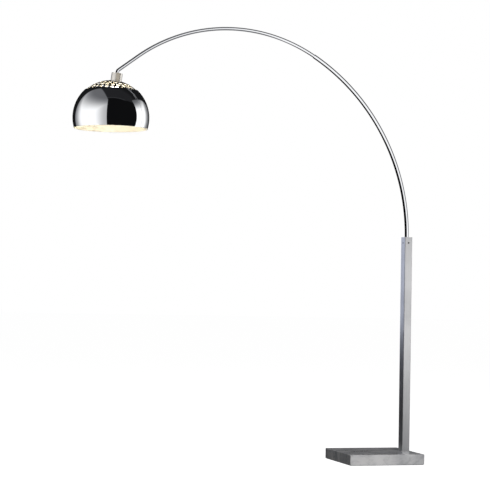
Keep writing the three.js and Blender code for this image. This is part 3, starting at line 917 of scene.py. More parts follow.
@dataclass
class Post:
    """Square-cornered steel post, with the two screws that pin the arm and the cord's grommet."""

    palette: Palette
    screw_chamfer: float = 0.0005
    screw_socket: float = 0.0021
    socket_depth: float = 0.0022
    bush_gap: float = 0.00025
    bush_round: float = 0.0003
    gland_bore: float = 0.0032
    gland_body: float = 2 / 3
    gland_gap: float = 0.00015
    flange_depth: float = 0.0015
    gland_round: float = 0.0004
    segments: int = 48

    def build(self) -> None:
        """Dresses the tube and its blocks, and builds the small round pieces."""
        dress(self.palette.post, "post_tube", "arm_socket_block")
        dress(self.palette.zinc, "post_foot_block", "arm_seat_block")
        dress(self.palette.brass, "thrust_washer")
        dress(self.palette.jacket, "post_wire")
        self.build_screw("side", 0)
        self.build_screw("front", 1)
        self.build_bush()
        self.build_grommet()

    def build_screw(self, side: str, axis: int) -> None:
        """Builds a grub screw with a hexagonal socket, which faces down its axis.

        Args:
            side: Which screw it is.
            axis: The axis it lies along, 0 for X or 1 for Y.
        """
        low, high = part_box(f"set_screw_{side}")
        length = high[axis] - low[axis]
        radius = (high.z - low.z) / 2
        edge = radius - self.screw_chamfer
        outline = [(0, 0), (edge, 0), (radius, self.screw_chamfer)]
        outline += [(radius, length - self.screw_chamfer), (edge, length), (0, length)]
        shape = Shape().spin(outline, self.segments)
        mesh = shape.mesh
        caps = [face for face in mesh.faces if face.calc_center_median().z > length - 1e-6]
        bmesh.ops.delete(mesh, geom=caps, context="FACES")
        rim = [e for e in mesh.edges if e.is_boundary]
        top = Matrix.Translation((0, 0, length))
        socket = bmesh.ops.create_circle(mesh, segments=6, radius=self.screw_socket, matrix=top)
        hexagon = list({edge for vert in socket["verts"] for edge in vert.link_edges})
        bmesh.ops.bridge_loops(mesh, edges=rim + hexagon)
        walls = bmesh.ops.extrude_edge_only(mesh, edges=hexagon)["geom"]
        floor = [item for item in walls if isinstance(item, bmesh.types.BMVert)]
        bmesh.ops.translate(mesh, verts=floor, vec=(0, 0, -self.socket_depth))
        bmesh.ops.contextual_create(mesh, geom=floor)
        direction = Vector((0, 0, 0))
        direction[axis] = -1
        start = Matrix.Translation((low + high) / 2 - direction * length / 2)
        shape.close().move(start @ turn_to(direction))
        piece = shape.finish(f"{side}_grub_screw", [self.palette.screw])
        place_piece(piece, Body.BASE, "black_steel", f"set_screw_{side}")

    def build_bush(self) -> None:
        """Builds the nylon bush that shows as a thin ring round the arm's foot."""
        low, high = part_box("arm_bush")
        outer = (high.y - low.y) / 2
        arm_low, arm_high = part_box("arm_lower_section")
        inner = (arm_high.y - arm_low.y) / 2 + self.bush_gap
        outline = [(inner, low.z), (outer, low.z), (outer, high.z), (inner, high.z)]
        outline = rounded(outline, self.bush_round)
        axis = Matrix.Translation((joint("arm_swivel")["pos_m"][0], 0, 0))
        piece = turned("arm_bush_sleeve", outline, self.segments, axis, self.palette.nylon)
        place_piece(piece, Body.BASE, "nylon", "arm_bush")

    def build_grommet(self) -> None:
        """Builds the tapered rubber grommet that a cord would leave by."""
        low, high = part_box("cable_gland")
        flange = (high.z - low.z) / 2
        body = flange * self.gland_body
        length = high.x - low.x
        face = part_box("post_tube")[1].x - low.x + self.gland_gap
        outer = face + self.flange_depth
        outline = [(self.gland_bore, 0), (body, 0), (body, face), (flange, face)]
        outline += [(flange, outer), (body, length), (self.gland_bore, length)]
        outline = rounded(outline, self.gland_round)
        place = Matrix.Translation((low.x, 0, (low.z + high.z) / 2)) @ turn_to(Vector((1, 0, 0)))
        piece = turned("cord_grommet", outline, self.segments, place, self.palette.rubber)
        place_piece(piece, Body.BASE, "rubber", "cable_gland")


# ---- arm


@dataclass
class Arm:
    """Two chrome tubes: a thick one that leaves the post and a thin one plugged into its end."""

    palette: Palette
    lower_bend: float = 1.022
    lower_degrees: float = 59.3
    crown_bend: float = 0.795
    crown_degrees: float = 67.7
    tail_length: float = 0.122
    tail_short: float = 0.0053
    overlap: float = 0.07
    wall: float = 0.0015
    bend_axis: tuple = (0, -1, 0)
    bend_steps: int = 96
    plug_steps: int = 6
    pivot: Vector = field(default_factory=lambda: Vector(joint("arm_swivel")["pos_m"]))

    def build(self) -> None:
        """Builds both tubes and dresses the pieces inside them."""
        self.build_tube("lower_arm_tube", "arm_lower_section", self.draw_lower)
        self.build_tube("upper_arm_tube", "arm_upper_section", self.draw_upper)
        dress(self.palette.screw, "arm_lock_screw")
        dress(self.palette.jacket, "arm_wire")

    def build_tube(self, name: str, node: str, draw: Callable) -> None:
        """Builds a tube from its outer and its inner skin, joined at both ends.

        Args:
            name: The piece's name.
            node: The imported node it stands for, which gives its radius.
            draw: Draws a skin, and gives its first and last ring of edges.
        """
        low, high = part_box(node)
        radius = (high.y - low.y) / 2
        shape = Shape()
        ends = [draw(shape, size) for size in (radius, radius - self.wall)]
        for first, second in zip(*ends):
            bmesh.ops.bridge_loops(shape.mesh, edges=first + second)
        piece = shape.close().finish(name, [self.palette.tube])
        place_piece(piece, Body.ARM, "arm_chrome", node)

    def lower_centre(self) -> Vector:
        """Finds the centre of the lower tube's bend."""
        return Vector((self.pivot.x - self.lower_bend, 0, self.pivot.z))

    def draw_lower(self, shape: Shape, radius: float) -> tuple[list, list]:
        """Draws a skin of the thick tube: a straight foot in the post, then its bend.

        Args:
            shape: The shape to draw in.
            radius: The skin's radius.

        Returns:
            The first and the last ring of edges.
        """
        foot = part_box("arm_lower_section")[0].z
        start = shape.ring(radius, Matrix.Translation((self.pivot.x, 0, foot)))
        loop = shape.push(start, Vector((0, 0, self.pivot.z - foot)))
        bend = (self.bend_axis, self.lower_centre(), self.lower_degrees, self.bend_steps)
        return start, shape.bend(loop, *bend)

    def draw_upper(self, shape: Shape, radius: float) -> tuple[list, list]:
        """Draws a skin of the thin tube: its plugged end, the crown bend and the straight tail.

        Args:
            shape: The shape to draw in.
            radius: The skin's radius.

        Returns:
            The first and the last ring of edges.
        """
        centre = self.lower_centre()
        heading = math.radians(self.lower_degrees)
        inwards = Vector((-math.cos(heading), 0, -math.sin(heading)))
        crown = centre - inwards * (self.lower_bend - self.crown_bend)
        plug = self.overlap / self.lower_bend
        place = Matrix.Translation(centre) @ Matrix.Rotation(-(heading - plug), 4, "Y")
        start = shape.ring(radius, place @ Matrix.Translation((self.lower_bend, 0, 0)))
        loop = shape.bend(start, self.bend_axis, centre, math.degrees(plug), self.plug_steps)
        loop = shape.bend(loop, self.bend_axis, crown, self.crown_degrees, self.bend_steps)
        end = heading + math.radians(self.crown_degrees)
        tail = Vector((-math.sin(end), 0, math.cos(end))) * (self.tail_length - self.tail_short)
        return start, shape.push(loop, tail)


# ---- head


class HeadAxis:
    """The line through the shade's centre that the cup, the dome and the bulb are turned about."""

    def __init__(self) -> None:
        """Reads the line from the joint that turns the shade."""
        item = joint("shade_turn")
        self.centre = Vector(item["pos_m"])
        axis = Vector(item["axis"]).normalized()
        self.matrix = Matrix.Translation(self.centre) @ turn_to(axis)

    def extent(self, node: str) -> tuple[float, float, float]:
        """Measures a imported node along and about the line.

        Args:
            node: The node's name.

        Returns:
            Its lowest and highest point along the line, and its largest radius about it.
        """
        back = self.matrix.inverted()
        places = [back @ vert.co for vert in frame["nodes"][node].data.vertices]
        heights = [place.z for place in places]
        return min(heights), max(heights), max(place.xy.length for place in places)


@dataclass
class Head:
    """Elbow, cup, lamp holder and bulb, all on the head's axis."""

    palette: Palette
    axis: HeadAxis
    tube_radius: float = 0.0085
    elbow_rise: float = 0.013
    elbow_bend: float = 0.013
    elbow_degrees: float = 46.0
    elbow_steps: int = 16
    collar_step: float = 0.0023
    spigot_length: float = 0.02
    stud_bore: float = 0.0053
    cup_wall: float = 0.0015
    cup_roof: float = 0.003
    cup_round: float = 0.0007
    holder_body: float = 0.0195
    holder_cavity: float = 0.0152
    holder_roof: float = 0.009
    holder_shoulder: float = 0.006
    holder_round: float = 0.0006
    dome_gap: float = 0.0004
    flange_depth: float = 0.0035
    shell_wall: float = 0.0006
    shell_turns: int = 6
    ring_bore: float = 0.0198
    ring_chamfer: float = 0.001
    rib_depth: float = 0.0006
    rib_pitch: float = 0.0018
    rib_width: float = 0.0008
    cap_thread: float = 0.0009
    cap_edge: float = 0.001
    cap_margin: float = 0.002
    cap_mouth: float = 0.004
    glass_neck: float = 0.0121
    glass_wall: float = 0.001
    glass_straight: float = 0.012
    globe_degrees: float = 62.0
    globe_ease: tuple = (-0.010, 0.018)
    segments: int = 96

    def build(self) -> None:
        """Builds every piece of the head."""
        self.build_elbow()
        self.build_cup()
        self.build_holder()
        self.build_retaining_ring()
        self.build_bulb()
        dress(self.palette.zinc, "threaded_nipple", "cup_lock_washer", "bulb_contact")
        dress(self.palette.brass, "cup_lock_nut", "holder_contact")

    def turned(
        self, name: str, outline: Outline, material: bpy.types.Material, slot: str, node: str
    ) -> None:
        """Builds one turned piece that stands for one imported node.

        Args:
            name: The piece's name.
            outline: Its closed outline.
            material: Its finish.
            slot: The record's material slot.
            node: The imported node.
        """
        piece = turned(name, outline, self.segments, self.axis.matrix, material)
        place_piece(piece, Body.ARM, slot, node)

    def build_elbow(self) -> None:
        """Builds the knuckle: a short neck on the cup, one bend, and a collar at the arm's end."""
        cup_top = self.axis.extent("socket_cup")[1]
        low = self.axis.extent("arm_elbow")[0]
        angle = math.radians(self.elbow_degrees)
        bend_height = cup_top + self.elbow_rise - self.elbow_bend * math.tan(angle / 2)
        shape = Shape()
        start = shape.ring(self.tube_radius, Matrix.Translation((0, 0, low)))
        loop = shape.push(start, Vector((0, 0, bend_height - low)))
        centre = Vector((self.elbow_bend, 0, bend_height))
        last = shape.bend(loop, (0, 1, 0), centre, self.elbow_degrees, self.elbow_steps)
        for end in (start, last):
            bmesh.ops.contextual_create(shape.mesh, geom=end)
        line = Vector((math.sin(angle), 0, math.cos(angle)))
        ends = [face for face in shape.mesh.faces if len(face.verts) == TUBE_SIDES]
        tip = [face for face in ends if face.normal.dot(line) ** 2 > 0.9]
        bmesh.ops.inset_region(
            shape.mesh, faces=tip, thickness=self.collar_step, use_even_offset=True
        )
        made = bmesh.ops.extrude_face_region(shape.mesh, geom=tip)
        bmesh.ops.delete(shape.mesh, geom=tip, context="FACES")
        spigot = [item for item in made["geom"] if isinstance(item, bmesh.types.BMVert)]
        bmesh.ops.translate(shape.mesh, verts=spigot, vec=line * self.spigot_length)
        piece = shape.close().move(self.axis.matrix).finish("elbow_knuckle", [self.palette.tube])
        place_piece(piece, Body.ARM, "arm_chrome", "arm_elbow")

    def build_cup(self) -> None:
        """Builds the cup, with a rounded top edge and a plain square lower edge."""
        low, high, radius = self.axis.extent("socket_cup")
        inner = radius - self.cup_wall
        roof = high - self.cup_roof
        outline = [(self.stud_bore, roof), (inner, roof), (inner, low), (radius, low)]
        outline += [(radius, high), (self.stud_bore, high)]
        outline = rounded(outline, self.cup_round)
        self.turned("holder_cup", outline, self.palette.cup, "cup_steel", "socket_cup")

    def build_holder(self) -> None:
        """Builds the porcelain holder, whose flange sits on the dome, and its threaded shell."""
        low, high, flange = self.axis.extent("lamp_holder")
        body = self.holder_body
        roof = high - self.holder_roof
        seat = self.axis.extent("perforated_dome")[1] + self.dome_gap
        shoulder = self.holder_shoulder
        outline = [(self.stud_bore, high), (body - shoulder, high), (body, high - shoulder)]
        outline += [(body, seat + self.flange_depth), (flange, seat + self.flange_depth)]
        outline += [(flange, seat), (body, seat), (body, low), (self.holder_cavity, low)]
        outline += [(self.holder_cavity, roof), (self.stud_bore, roof)]
        outline = rounded(outline, self.holder_round)
        porcelain = self.palette.porcelain
        self.turned("porcelain_holder", outline, porcelain, "porcelain", "lamp_holder")
        low, high, radius = self.axis.extent("holder_screw_shell")
        depth = self.shell_wall / 2
        outside = rolled(radius, depth, low, high, self.shell_turns, self.shell_turns * 8)
        inside = [(out - depth, height) for out, height in outside]
        outline = outside + inside[::-1]
        brass = self.palette.brass
        self.turned("holder_thread_shell", outline, brass, "brass", "holder_screw_shell")

    def build_retaining_ring(self) -> None:
        """Builds the ribbed nylon ring that clamps the dome to the holder."""
        low, high, radius = self.axis.extent("dome_clamp_ring")
        outline = [(self.ring_bore, low), (radius - self.ring_chamfer, low)]
        outline.append((radius, low + self.ring_chamfer))
        for i in range(3):
            height = low + 2 * self.ring_chamfer + self.rib_pitch * i
            groove = (radius - self.rib_depth, height + self.rib_width / 2)
            outline += [(radius, height), groove, (radius, height + self.rib_width)]
        outline += [(radius, high), (self.ring_bore, high)]
        nylon = self.palette.nylon
        self.turned("dome_retaining_ring", outline, nylon, "nylon", "dome_clamp_ring")

    def build_bulb(self) -> None:
        """Builds the bulb's rolled screw cap and its glass."""
        low, high, radius = self.axis.extent("bulb_cap")
        margin = self.cap_margin
        side = rolled(radius, self.cap_thread, low + margin, high - margin, turns=6, steps=40)
        outline = [(0, low), (radius - self.cap_edge, low), *side]
        outline += [(radius - self.cap_mouth, high), (0, high)]
        self.turned("bulb_screw_cap", outline, self.palette.brass, "bulb_metal", "bulb_cap")
        low, high, radius = self.axis.extent("bulb_glass")
        outer = self.glass_skin(low, high, radius, 0.0)
        inner = self.glass_skin(low, high, radius, self.glass_wall)
        glass = self.palette.bulb
        self.turned("bulb_envelope", outer + inner[::-1], glass, "bulb_glass", "bulb_glass")

    def glass_skin(self, low: float, high: float, radius: float, offset: float) -> Outline:
        """Works out one skin of the bulb's glass: globe, easy curve and straight neck.

        Args:
            low: The glass's lowest point.
            high: Its highest point.
            radius: The globe's radius.
            offset: How far inside the outer skin it lies.

        Returns:
            The (radius, height) points, from the lowest up.
        """
        centre = low + radius
        skin = arc(radius - offset, 180, self.globe_degrees, steps=40, centre=centre)
        skin[0] = (0.0, skin[0][1])
        top = Vector(skin[-1])
        neck = self.glass_neck - offset
        end = Vector((neck, high - self.glass_straight))
        skin += curve(top, top + Vector(self.globe_ease), end, steps=12)[1:]
        return [*skin, (neck, high)]


# ---- shade


@dataclass
class Shade:
    """Pierced dome on the head's axis and, sliding on it, the mirror bowl."""

    palette: Palette
    axis: HeadAxis
    sheet: float = 0.0012
    hole_radius: float = 0.0095
    hole_pitch: float = 0.025
    first_row: float = 0.087
    row_pitch: float = 0.0232
    rows: int = 4
    hole_sides: int = 28
    punch_length: float = 0.012
    dome_bore: float = 0.0201
    dome_edge_degrees: float = 70.0
    neck_degrees: float = 44.0
    edge_round: float = 0.0004
    slip_sheet: float = 0.0009
    slip_degrees: float = 3.0
    segments: int = 160

    def build(self) -> None:
        """Builds the dome, the slip ring and the bowl."""
        self.build_dome()
        self.build_slip_ring()
        self.build_bowl()

    def zone(self, inner: float, outer: float, start: float, end: float, steps: int) -> Outline:
        """Works out the outline of part of a spherical sheet.

        Args:
            inner: Its inner radius.
            outer: Its outer radius.
            start: First angle from the axis, in degrees.
            end: Last angle.
            steps: Steps along each side.

        Returns:
            The outline.
        """
        return arc(outer, start, end, steps) + arc(inner, end, start, steps)

    def build_dome(self) -> None:
        """Builds the dome and pierces its rows of round holes."""
        edge = math.radians(self.dome_edge_degrees)
        outer = self.axis.extent("perforated_dome")[2] / math.sin(edge)
        inner = outer - self.sheet
        mouth = math.degrees(math.asin(self.dome_bore / outer))
        outline = self.zone(inner, outer, mouth, self.dome_edge_degrees, steps=40)
        dome = Shape().spin(outline, self.segments).close().finish("pierced_dome", [])
        punch = self.punches(outer).finish("punches", [])
        cut = dome.modifiers.new("holes", "BOOLEAN")
        cut.operation = "DIFFERENCE"
        cut.solver = "EXACT"
        cut.object = punch
        bpy.context.view_layer.update()
        graph = bpy.context.evaluated_depsgraph_get()
        pierced = bpy.data.meshes.new_from_object(dome.evaluated_get(graph))
        dome.modifiers.clear()
        dome.data = pierced
        bpy.data.objects.remove(punch)
        self.round_off(pierced)
        pierced.transform(self.axis.matrix)
        place_piece(dome, Body.ARM, "dome_chrome", "perforated_dome")

    def punches(self, outer: float) -> Shape:
        """Sets out the rows of punches, each row half a step on from the last.

        Args:
            outer: The dome's outer radius.

        Returns:
            The punches, as one shape.
        """
        punches = Shape()
        middle = Matrix.Translation((0, 0, outer - self.sheet / 2))
        for row in range(self.rows):
            polar = (self.first_row + self.row_pitch * row) / outer
            count = int(2 * math.pi * outer * math.sin(polar) / self.hole_pitch)
            for i in range(count):
                around = 2 * math.pi * (i + row / 2) / count
                turn = Matrix.Rotation(around, 4, "Z") @ Matrix.Rotation(polar, 4, "Y")
                bmesh.ops.create_cone(
                    punches.mesh,
                    cap_ends=True,
                    segments=self.hole_sides,
                    radius1=self.hole_radius,
                    radius2=self.hole_radius,
                    depth=self.punch_length,
                    matrix=turn @ middle,
                )
        return punches

    def round_off(self, mesh: bpy.types.Mesh) -> None:
        """Gives a pierced spherical sheet true round normals and its two finishes: chrome outside,
        and inside a darker copy of the warm enamel, which is painted shade.

        Args:
            mesh: The sheet, centred on the origin.
        """
        mesh.materials.clear()
        for material in (self.palette.pierced, self.palette.painted_shade_enamel):
            mesh.materials.append(material)
        mesh.shade_smooth()
        normals = [Vector((0, 0, 0))] * len(mesh.loops)
        for face in mesh.polygons:
            facing = face.normal.dot(face.center.normalized())
            # Inward-facing faces take the darker enamel copy, which is painted shade.
            face.material_index = 1 if facing < -0.5 else 0
            for index in face.loop_indices:
                point = mesh.vertices[mesh.loops[index].vertex_index].co
                if abs(facing) > 0.5:
                    normals[index] = point.normalized() * math.copysign(1.0, facing)
                else:
                    normals[index] = face.normal.copy()
        mesh.normals_split_custom_set(normals)

    def build_slip_ring(self) -> None:
        """Builds the nylon ring between the dome and the bowl."""
        low, _, radius = self.axis.extent("glide_ring")
        degrees = math.degrees(math.atan2(radius, low))
        outer = math.hypot(radius, low)
        start = degrees - self.slip_degrees
        outline = self.zone(outer - self.slip_sheet, outer, start, degrees, steps=4)
        nylon = self.palette.nylon
        piece = turned("slip_ring", outline, self.segments, self.axis.matrix, nylon)
        place_piece(piece, Body.GLIDE, "nylon", "glide_ring")

    def build_bowl(self) -> None:
        """Builds the mirror bowl: chrome outside, warm enamel inside, with rounded edges."""
        low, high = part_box("shade_bowl")
        centre = Vector(joint("shade_tilt")["pos_m"])
        outer = (high.x - low.x) / 2
        rim = math.degrees(math.acos((low.z - centre.z) / outer))
        outline = self.zone(outer - self.sheet, outer, self.neck_degrees, rim, steps=72)
        shape = Shape().spin(rounded(outline, self.edge_round), self.segments).close()
        middle = outer - self.sheet / 2
        for face in shape.mesh.faces:
            face.material_index = int(face.calc_center_median().length < middle)
        shape.move(Matrix.Translation(centre))
        sides = [self.palette.mirror, self.palette.enamel]
        piece = shape.finish("mirror_bowl", sides, sharp_degrees=50.0)
        place_piece(piece, Body.BOWL, "shade_chrome", "shade_bowl")


# ---- studio


class Directions:
    """Masks and levels worked out from a direction, for what the mirrors see."""

    def __init__(self, graph: Graph, direction: object, front: Vector) -> None:
        """Splits a direction into parts towards the camera's side, to its right, and up.

        Args:
            graph: The graph to add to.
            direction: The direction, of length one.
            front: Level direction towards the camera's side.
        """
        self.graph = graph
        self.direction = direction
        self.front = front
        self.right = Vector((-front.y, front.x, 0.0))

    def level(self, degrees: float) -> Vector:
        """Finds the level direction this far round to the right of the camera's side."""
        angle = math.radians(degrees)
        return self.front * math.cos(angle) + self.right * math.sin(angle)

    def along(self, axis: Vector) -> Socket:
        """Measures the direction along an axis."""
        return self.graph.vector("DOT_PRODUCT", self.direction, tuple(axis))

    def side(self, normal: Vector, soft: float) -> Socket:
        """Makes a mask of one side of a straight edge.

        Args:
            normal: Normal of the plane through the eye and the edge; the mask is on its side.
            soft: Half-width of the edge, in degrees.

        Returns:
            The mask, 1 on the normal's side.
        """
        reach = math.radians(soft)
        return self.graph.ease(self.along(normal.normalized()), (-reach, reach))

    def all(self, *masks: Socket) -> Socket:
        """Multiplies masks.

        Args:
            masks: The masks.

        Returns:
            Their product, which is 1 only where every mask is.
        """
        result = masks[0]
        for mask in masks[1:]:
            result = self.graph.math("MULTIPLY", result, mask)
        return result

    def blend(self, mask: Socket, under: object, over: object) -> Socket:
        """Lays one level over another by a mask."""
        step = self.graph.math("MULTIPLY", mask, self.graph.math("SUBTRACT", over, under))
        return self.graph.math("ADD", under, step)

    def rise(self) -> Socket:
        """Works out the height above the horizon, in degrees."""
        return self.graph.math("DEGREES", self.graph.math("ARCSINE", self.along(UP)))

    def around(self) -> Socket:
        """Works out the angle to the right of the camera's side, in degrees."""
        turn = self.graph.math("ARCTAN2", self.along(self.right), self.along(self.front))
        return self.graph.math("DEGREES", turn)


class Surroundings:
    """A far sphere that only chosen mirrors see, so that each group has its own reflections."""

    def __init__(
        self, name: str, radius: float, receivers: list, front: Vector, levels: Callable
    ) -> None:
        """Builds the sphere and links it to the pieces that see it.

        Args:
            name: The sphere's name.
            radius: Its radius, which differs for each.
            receivers: The pieces that see it.
            front: Level direction towards the camera's side.
            levels: Works out the displayed grey from Directions.
        """
        shape = Shape()
        bmesh.ops.create_icosphere(shape.mesh, subdivisions=3, radius=radius)
        material, graph = new_material(name)
        material.cycles.emission_sampling = "NONE"
        place = graph.add("TexCoord").outputs["Object"]
        direction = graph.vector("NORMALIZE", place, (0.0, 0.0, 0.0))
        grey = levels(Directions(graph, direction, front))
        cool = graph.ramp(grey, (0.15, 0.8), (1.0, 0.0))
        colour = graph.mix(cool, (1.0, 1.0, 1.0), (0.9, 0.92, 1.0))
        glow = graph.add("Emission")
        graph.fill(glow, Color=colour, Strength=graph.math("POWER", grey, 2.2))
        graph.show(glow, graph.add("BsdfTransparent"))
        sphere = shape.finish(name, [material])
        for ray in ("camera", "diffuse", "transmission", "volume_scatter", "shadow"):
            setattr(sphere, f"visible_{ray}", False)
        sphere.light_linking.receiver_collection = receiver_collection(name, receivers)
        LOG.info("%s: seen by %d pieces", name, len(receivers))


def receiver_collection(name: str, receivers: list) -> bpy.types.Collection:
    """Gathers the pieces that one light reaches.

    Args:
        name: The light's name.
        receivers: The pieces.

    Returns:
        The collection that holds them.
    """
    chosen = bpy.data.collections.new(f"{name}_receivers")
    for piece in receivers:
        chosen.objects.link(piece)
    return chosen


def shade_levels(view: Directions) -> Socket:
    """Works out what the shade mirrors: two tall soft panels, a dark room and a pale ground.

    Args:
        view: The directions to work from.

    Returns:
        The displayed grey.
    """
    graph = view.graph
    rise = view.rise()
    around = view.around()
    front_wall = view.side(UP - view.level(5.0) * 1.5, 0.8)
    side_wall = view.side(UP - view.level(30.0) * 1.109, 0.8)
    ceiling = view.all(front_wall, side_wall)
    grey = view.blend(ceiling, 0.095, 0.17)
    back = view.side(-view.level(0.0) - UP * 0.1, 6.0)
    grey = view.blend(back, grey, 0.13)
    seam = view.side(view.level(5.0) * 1.62 - UP, 0.8)
    seam = view.all(ceiling, seam, view.side(view.front, 3.0))
    grey = view.blend(seam, grey, 0.25)
    left_mask = view.all(
        view.side(-view.right + view.front * 0.15 - UP * 0.317, 1.5),
        view.side(-view.level(77.0), 0.7),
        view.side(view.level(-44.0) - UP * 0.114, 1.5),
    )
    left_top = graph.ease(rise, (10.0, 57.0), (1.1, 0.43))
    left_far = graph.ease(around, (-134.0, -98.0), (0.56, 1.08))
    left_near = graph.ease(around, (-56.0, -14.0), (1.1, 0.76))
    left = graph.math("MINIMUM", left_top, graph.math("MINIMUM", left_far, left_near))
    grey = view.blend(left_mask, grey, left)
    right_mask = view.all(
        view.side(view.level(80.0) * 0.872 - UP, 1.5),
        view.side(view.level(173.5), 0.7),
        view.side(-view.level(-117.0), 3.0),
    )
    right_top = graph.ease(rise, (15.0, 38.0), (1.14, 0.42))
    right_far = graph.ease(around, (118.0, 146.0), (1.14, 0.5))
    right = graph.math("MINIMUM", right_top, right_far)
    grey = view.blend(right_mask, grey, right)
    line = -view.front * 0.873 - view.right * 0.091 + UP * 0.479
    line_start = view.side(view.right * 0.8 - UP * 0.35, 3.0)
    across = graph.math("ABSOLUTE", view.along(line_normal(view)))
    thin = view.all(graph.ramp(across, (0.008, 0.02), (1.0, 0.0)), line_start)
    thin = view.all(thin, view.side(line, 3.0), view.side(UP * 0.9 - view.right * 0.75, 3.0))
    grey = view.blend(thin, grey, 0.62)
    ground = graph.ease(rise, (-46.0, -38.0), (1.0, 0.0))
    return view.blend(ground, grey, 0.94)


def line_normal(view: Directions) -> Vector:
    """Finds the plane that holds the thin light line high on the right.

    Args:
        view: The directions to work from.

    Returns:
        The plane's normal.
    """
    start = view.right * 0.4828 - view.front * 0.382 + UP * 0.788
    end = view.right * 0.729 - view.front * 0.269 + UP * 0.629
    return start.cross(end).normalized()


def arm_levels(view: Directions) -> Socket:
    """Works out what the arm mirrors: a bright front, black to the left and grey elsewhere.

    Args:
        view: The directions to work from.

    Returns:
        The displayed grey.
    """
    graph = view.graph
    lean = view.along(view.right)
    edge = graph.ease(lean, (-0.6, -0.05), (0.05, 0.45))
    back = graph.ease(view.along(view.level(150.0)), (0.6, 0.95))
    edge = view.blend(back, edge, 0.8)
    rising = view.along((UP - view.right).normalized())
    slant = graph.math("ABSOLUTE", view.along((UP + view.right).normalized()))
    edge = graph.math("MULTIPLY", edge, graph.ramp(slant, (0.72, 0.98), (1.0, 0.65)))
    core = view.all(
        graph.ease(rising, (0.0, 0.09), (1.0, 0.0)),
        graph.ease(rising, (-0.75, -0.6)),
        graph.ease(slant, (0.64, 0.78), (1.0, 0.0)),
        view.side(view.front, 12.0),
    )
    return view.blend(core, edge, 1.05)


def post_levels(view: Directions) -> Socket:
    """Works out what the post mirrors: the arm's surroundings, dimmed, and a glow behind.

    Args:
        view: The directions to work from.

    Returns:
        The displayed grey.
    """
    graph = view.graph
    dimmed = graph.math("MULTIPLY", arm_levels(view), 0.6)
    behind = graph.ease(view.along(view.level(135.0)), (0.3, 0.85))
    grey = view.blend(behind, dimmed, 0.62)
    ground = graph.ease(view.rise(), (-34.0, -14.0), (1.0, 0.0))
    return view.blend(ground, grey, 0.58)


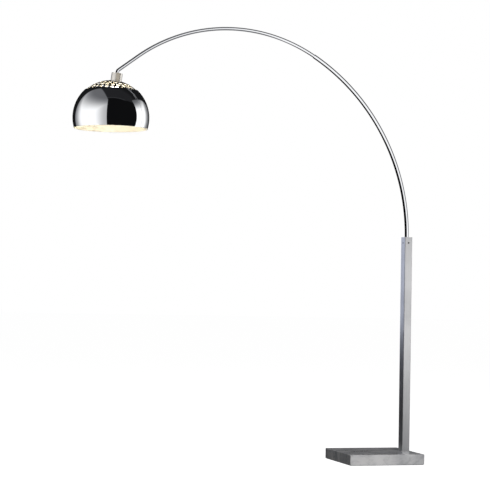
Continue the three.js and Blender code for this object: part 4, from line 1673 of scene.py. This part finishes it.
@dataclass
class Studio:
    """Camera, pale floor, soft lights and what the chrome mirrors."""

    position: Vector = field(default_factory=lambda: Vector((-2.910, -7.940, 0.809)))
    yaw_degrees: float = 15.68
    pitch_degrees: float = 1.71
    roll_degrees: float = 0.96
    lens: float = 124.9
    ambient: float = 0.055
    floor_glow: float = 0.96

    def build(self) -> None:
        """Builds what doesn't depend on the pieces: camera, world and floor."""
        self.build_camera()
        self.build_world()
        self.build_floor()

    def build_camera(self) -> None:
        """Places the camera and makes it the scene's."""
        angles = (self.yaw_degrees, self.pitch_degrees, self.roll_degrees)
        yaw, pitch, roll = (math.radians(angle) for angle in angles)
        level = math.cos(pitch)
        ahead = Vector((math.sin(yaw) * level, math.cos(yaw) * level, math.sin(pitch)))
        camera = bpy.data.objects.new("camera", bpy.data.cameras.new("camera"))
        camera.data.lens = self.lens
        camera.data.sensor_width = 36.0
        camera.rotation_mode = "QUATERNION"
        camera.rotation_quaternion = Quaternion(ahead, -roll) @ ahead.to_track_quat("-Z", "Y")
        camera.location = self.position
        scene = bpy.context.scene
        scene.collection.objects.link(camera)
        scene.camera = camera
        scene.view_settings.view_transform = "Standard"

    def build_world(self) -> None:
        """Makes the surroundings: white to look at, dim and even for matt surfaces."""
        world = bpy.data.worlds.new("studio")
        world.use_nodes = True
        bpy.context.scene.world = world
        graph = Graph(world.node_tree)
        path = graph.add("LightPath")
        diffuse = graph.math("MULTIPLY", path.outputs["Is Diffuse Ray"], self.ambient)
        seen = graph.math("MAXIMUM", path.outputs["Is Camera Ray"], diffuse)
        backdrop = graph.add("Background")
        graph.fill(backdrop, Color=(1.0, 1.0, 1.0), Strength=seen)
        graph.fill(graph.add("OutputWorld"), Surface=backdrop.outputs[0])

    def build_floor(self) -> None:
        """Lays a pale floor that is as white as the backdrop, but for a faint shadow."""
        shape = Shape()
        bmesh.ops.create_circle(shape.mesh, cap_ends=True, segments=64, radius=60.0)
        material, graph = new_material("pale_floor")
        matt = graph.fill(graph.add("BsdfDiffuse"), Color=(0.6, 0.6, 0.6))
        seen = graph.add("LightPath").outputs["Is Camera Ray"]
        strength = graph.math("MULTIPLY", seen, self.floor_glow)
        graph.show(matt, graph.fill(graph.add("Emission"), Strength=strength))
        floor = shape.finish("floor", [material])
        floor.visible_glossy = False

    def surround_pieces(self, towards: Vector) -> None:
        """Gives the post, the arm and the other pieces their own reflections.

        Args:
            towards: Level direction from the shade towards the camera's side.
        """
        pieces = [item for item in bpy.context.scene.objects if item.type == "MESH"]
        named = {piece.name: piece for piece in pieces}
        arm_names = ("lower_arm_tube", "upper_arm_tube", "elbow_knuckle", "arm_bush_sleeve")
        arm = [named[name] for name in arm_names]
        post = self.post_nodes() + [named[f"{side}_grub_screw"] for side in ("side", "front")]
        others = [piece for piece in pieces if piece not in arm + post and piece.name != "floor"]
        Surroundings("post_surroundings", 100.0, post, towards, post_levels)
        Surroundings("arm_surroundings", 150.0, arm, towards, arm_levels)
        Surroundings("shade_surroundings", 200.0, others, towards, shade_levels)

    def post_nodes(self) -> list:
        """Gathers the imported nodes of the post."""
        names = ("post_tube", "arm_socket_block", "post_foot_block")
        return [frame["nodes"][name] for name in names]

    def light_pieces(self) -> None:
        """Hangs the lights, each linked to the pieces that it reaches, and the reflections."""
        centre = Vector(joint("shade_tilt")["pos_m"])
        towards = (self.position - centre).to_2d().normalized().to_3d()
        self.surround_pieces(towards)
        post = self.post_nodes()
        spot = Vector(joint("arm_swivel")["pos_m"])
        aim = Vector((spot.x, 0, 0.75))
        ahead = spot + Vector((0.6, -1.5, -0.36))
        self.add_light("post_front_light", ahead, aim, 1.0, 3.2, post)
        back = spot + Vector((-0.55, 1.4, 0.3))
        blue = (0.76, 0.82, 1.0)
        self.add_light("post_side_light", back, aim + UP * 0.2, 1.7, 8.2, post, blue)
        slab = [frame["nodes"][name] for name in ("marble_base", "felt_pad")]
        ahead, aim = Vector((0.04, -2.0, 0.78)), Vector((0, -0.19, 0.03))
        pale = (1.0, 0.985, 0.955)
        front = self.add_light("slab_light", ahead, aim, 0.5, 22.5, slab, pale)
        back, aim = Vector((1.5, 1.9, 0.55)), Vector((0, 0, 0.03))
        rear = self.add_light("slab_back_light", back, aim, 0.7, 26.0, slab)
        ahead = centre + towards * 1.6 + Vector((0.8, 0, 0.3))
        cup = [bpy.context.scene.objects["holder_cup"]]
        self.add_light("cup_light", ahead, centre, 2.4, 9.0, cup, (1.0, 0.93, 0.8))
        above, aim = Vector((-0.5, -0.8, 5.0)), Vector((0, 0, 0))
        top = self.add_light("top_light", above, aim, 4.0, 80.0, [])
        for light in (front, rear, top):
            light.visible_glossy = False

    def add_light(
        self,
        name: str,
        place: Vector,
        aim: Vector,
        size: float,
        power: float,
        receivers: list,
        colour: Colour = (1.0, 1.0, 1.0),
    ) -> bpy.types.Object:
        """Adds a soft square light that the camera doesn't see.

        Args:
            name: The light's name.
            place: Where it hangs.
            aim: The point it faces.
            size: Length of its side.
            power: Its power in watts.
            receivers: The pieces that it reaches, or none for all.
            colour: Its colour.

        Returns:
            The light.
        """
        data = bpy.data.lights.new(name, "AREA")
        data.shape = "SQUARE"
        data.size = size
        data.energy = power
        data.color = colour
        light = bpy.data.objects.new(name, data)
        light.location = place
        light.rotation_mode = "QUATERNION"
        light.rotation_quaternion = (aim - place).to_track_quat("-Z", "Y")
        light.visible_camera = False
        if receivers:
            light.light_linking.receiver_collection = receiver_collection(name, receivers)
        bpy.context.scene.collection.objects.link(light)
        return light


# ---- main


def main() -> None:
    """Builds the studio, the finishes and every sub-assembly, in order."""
    logging.basicConfig(level=logging.INFO, format="%(name)s %(message)s")
    studio = Studio()
    studio.build()
    bulb_low, bulb_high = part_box("bulb_glass")
    palette = Palette(bulb_high.z - NECK_BELOW_TOP, bulb_low.z + GLOBE_ABOVE_FOOT)
    axis = HeadAxis()
    Slab(palette).build()
    Post(palette).build()
    Arm(palette).build()
    Head(palette, axis).build()
    Shade(palette, axis).build()
    studio.light_pieces()


if __name__ == "__main__":
    main()
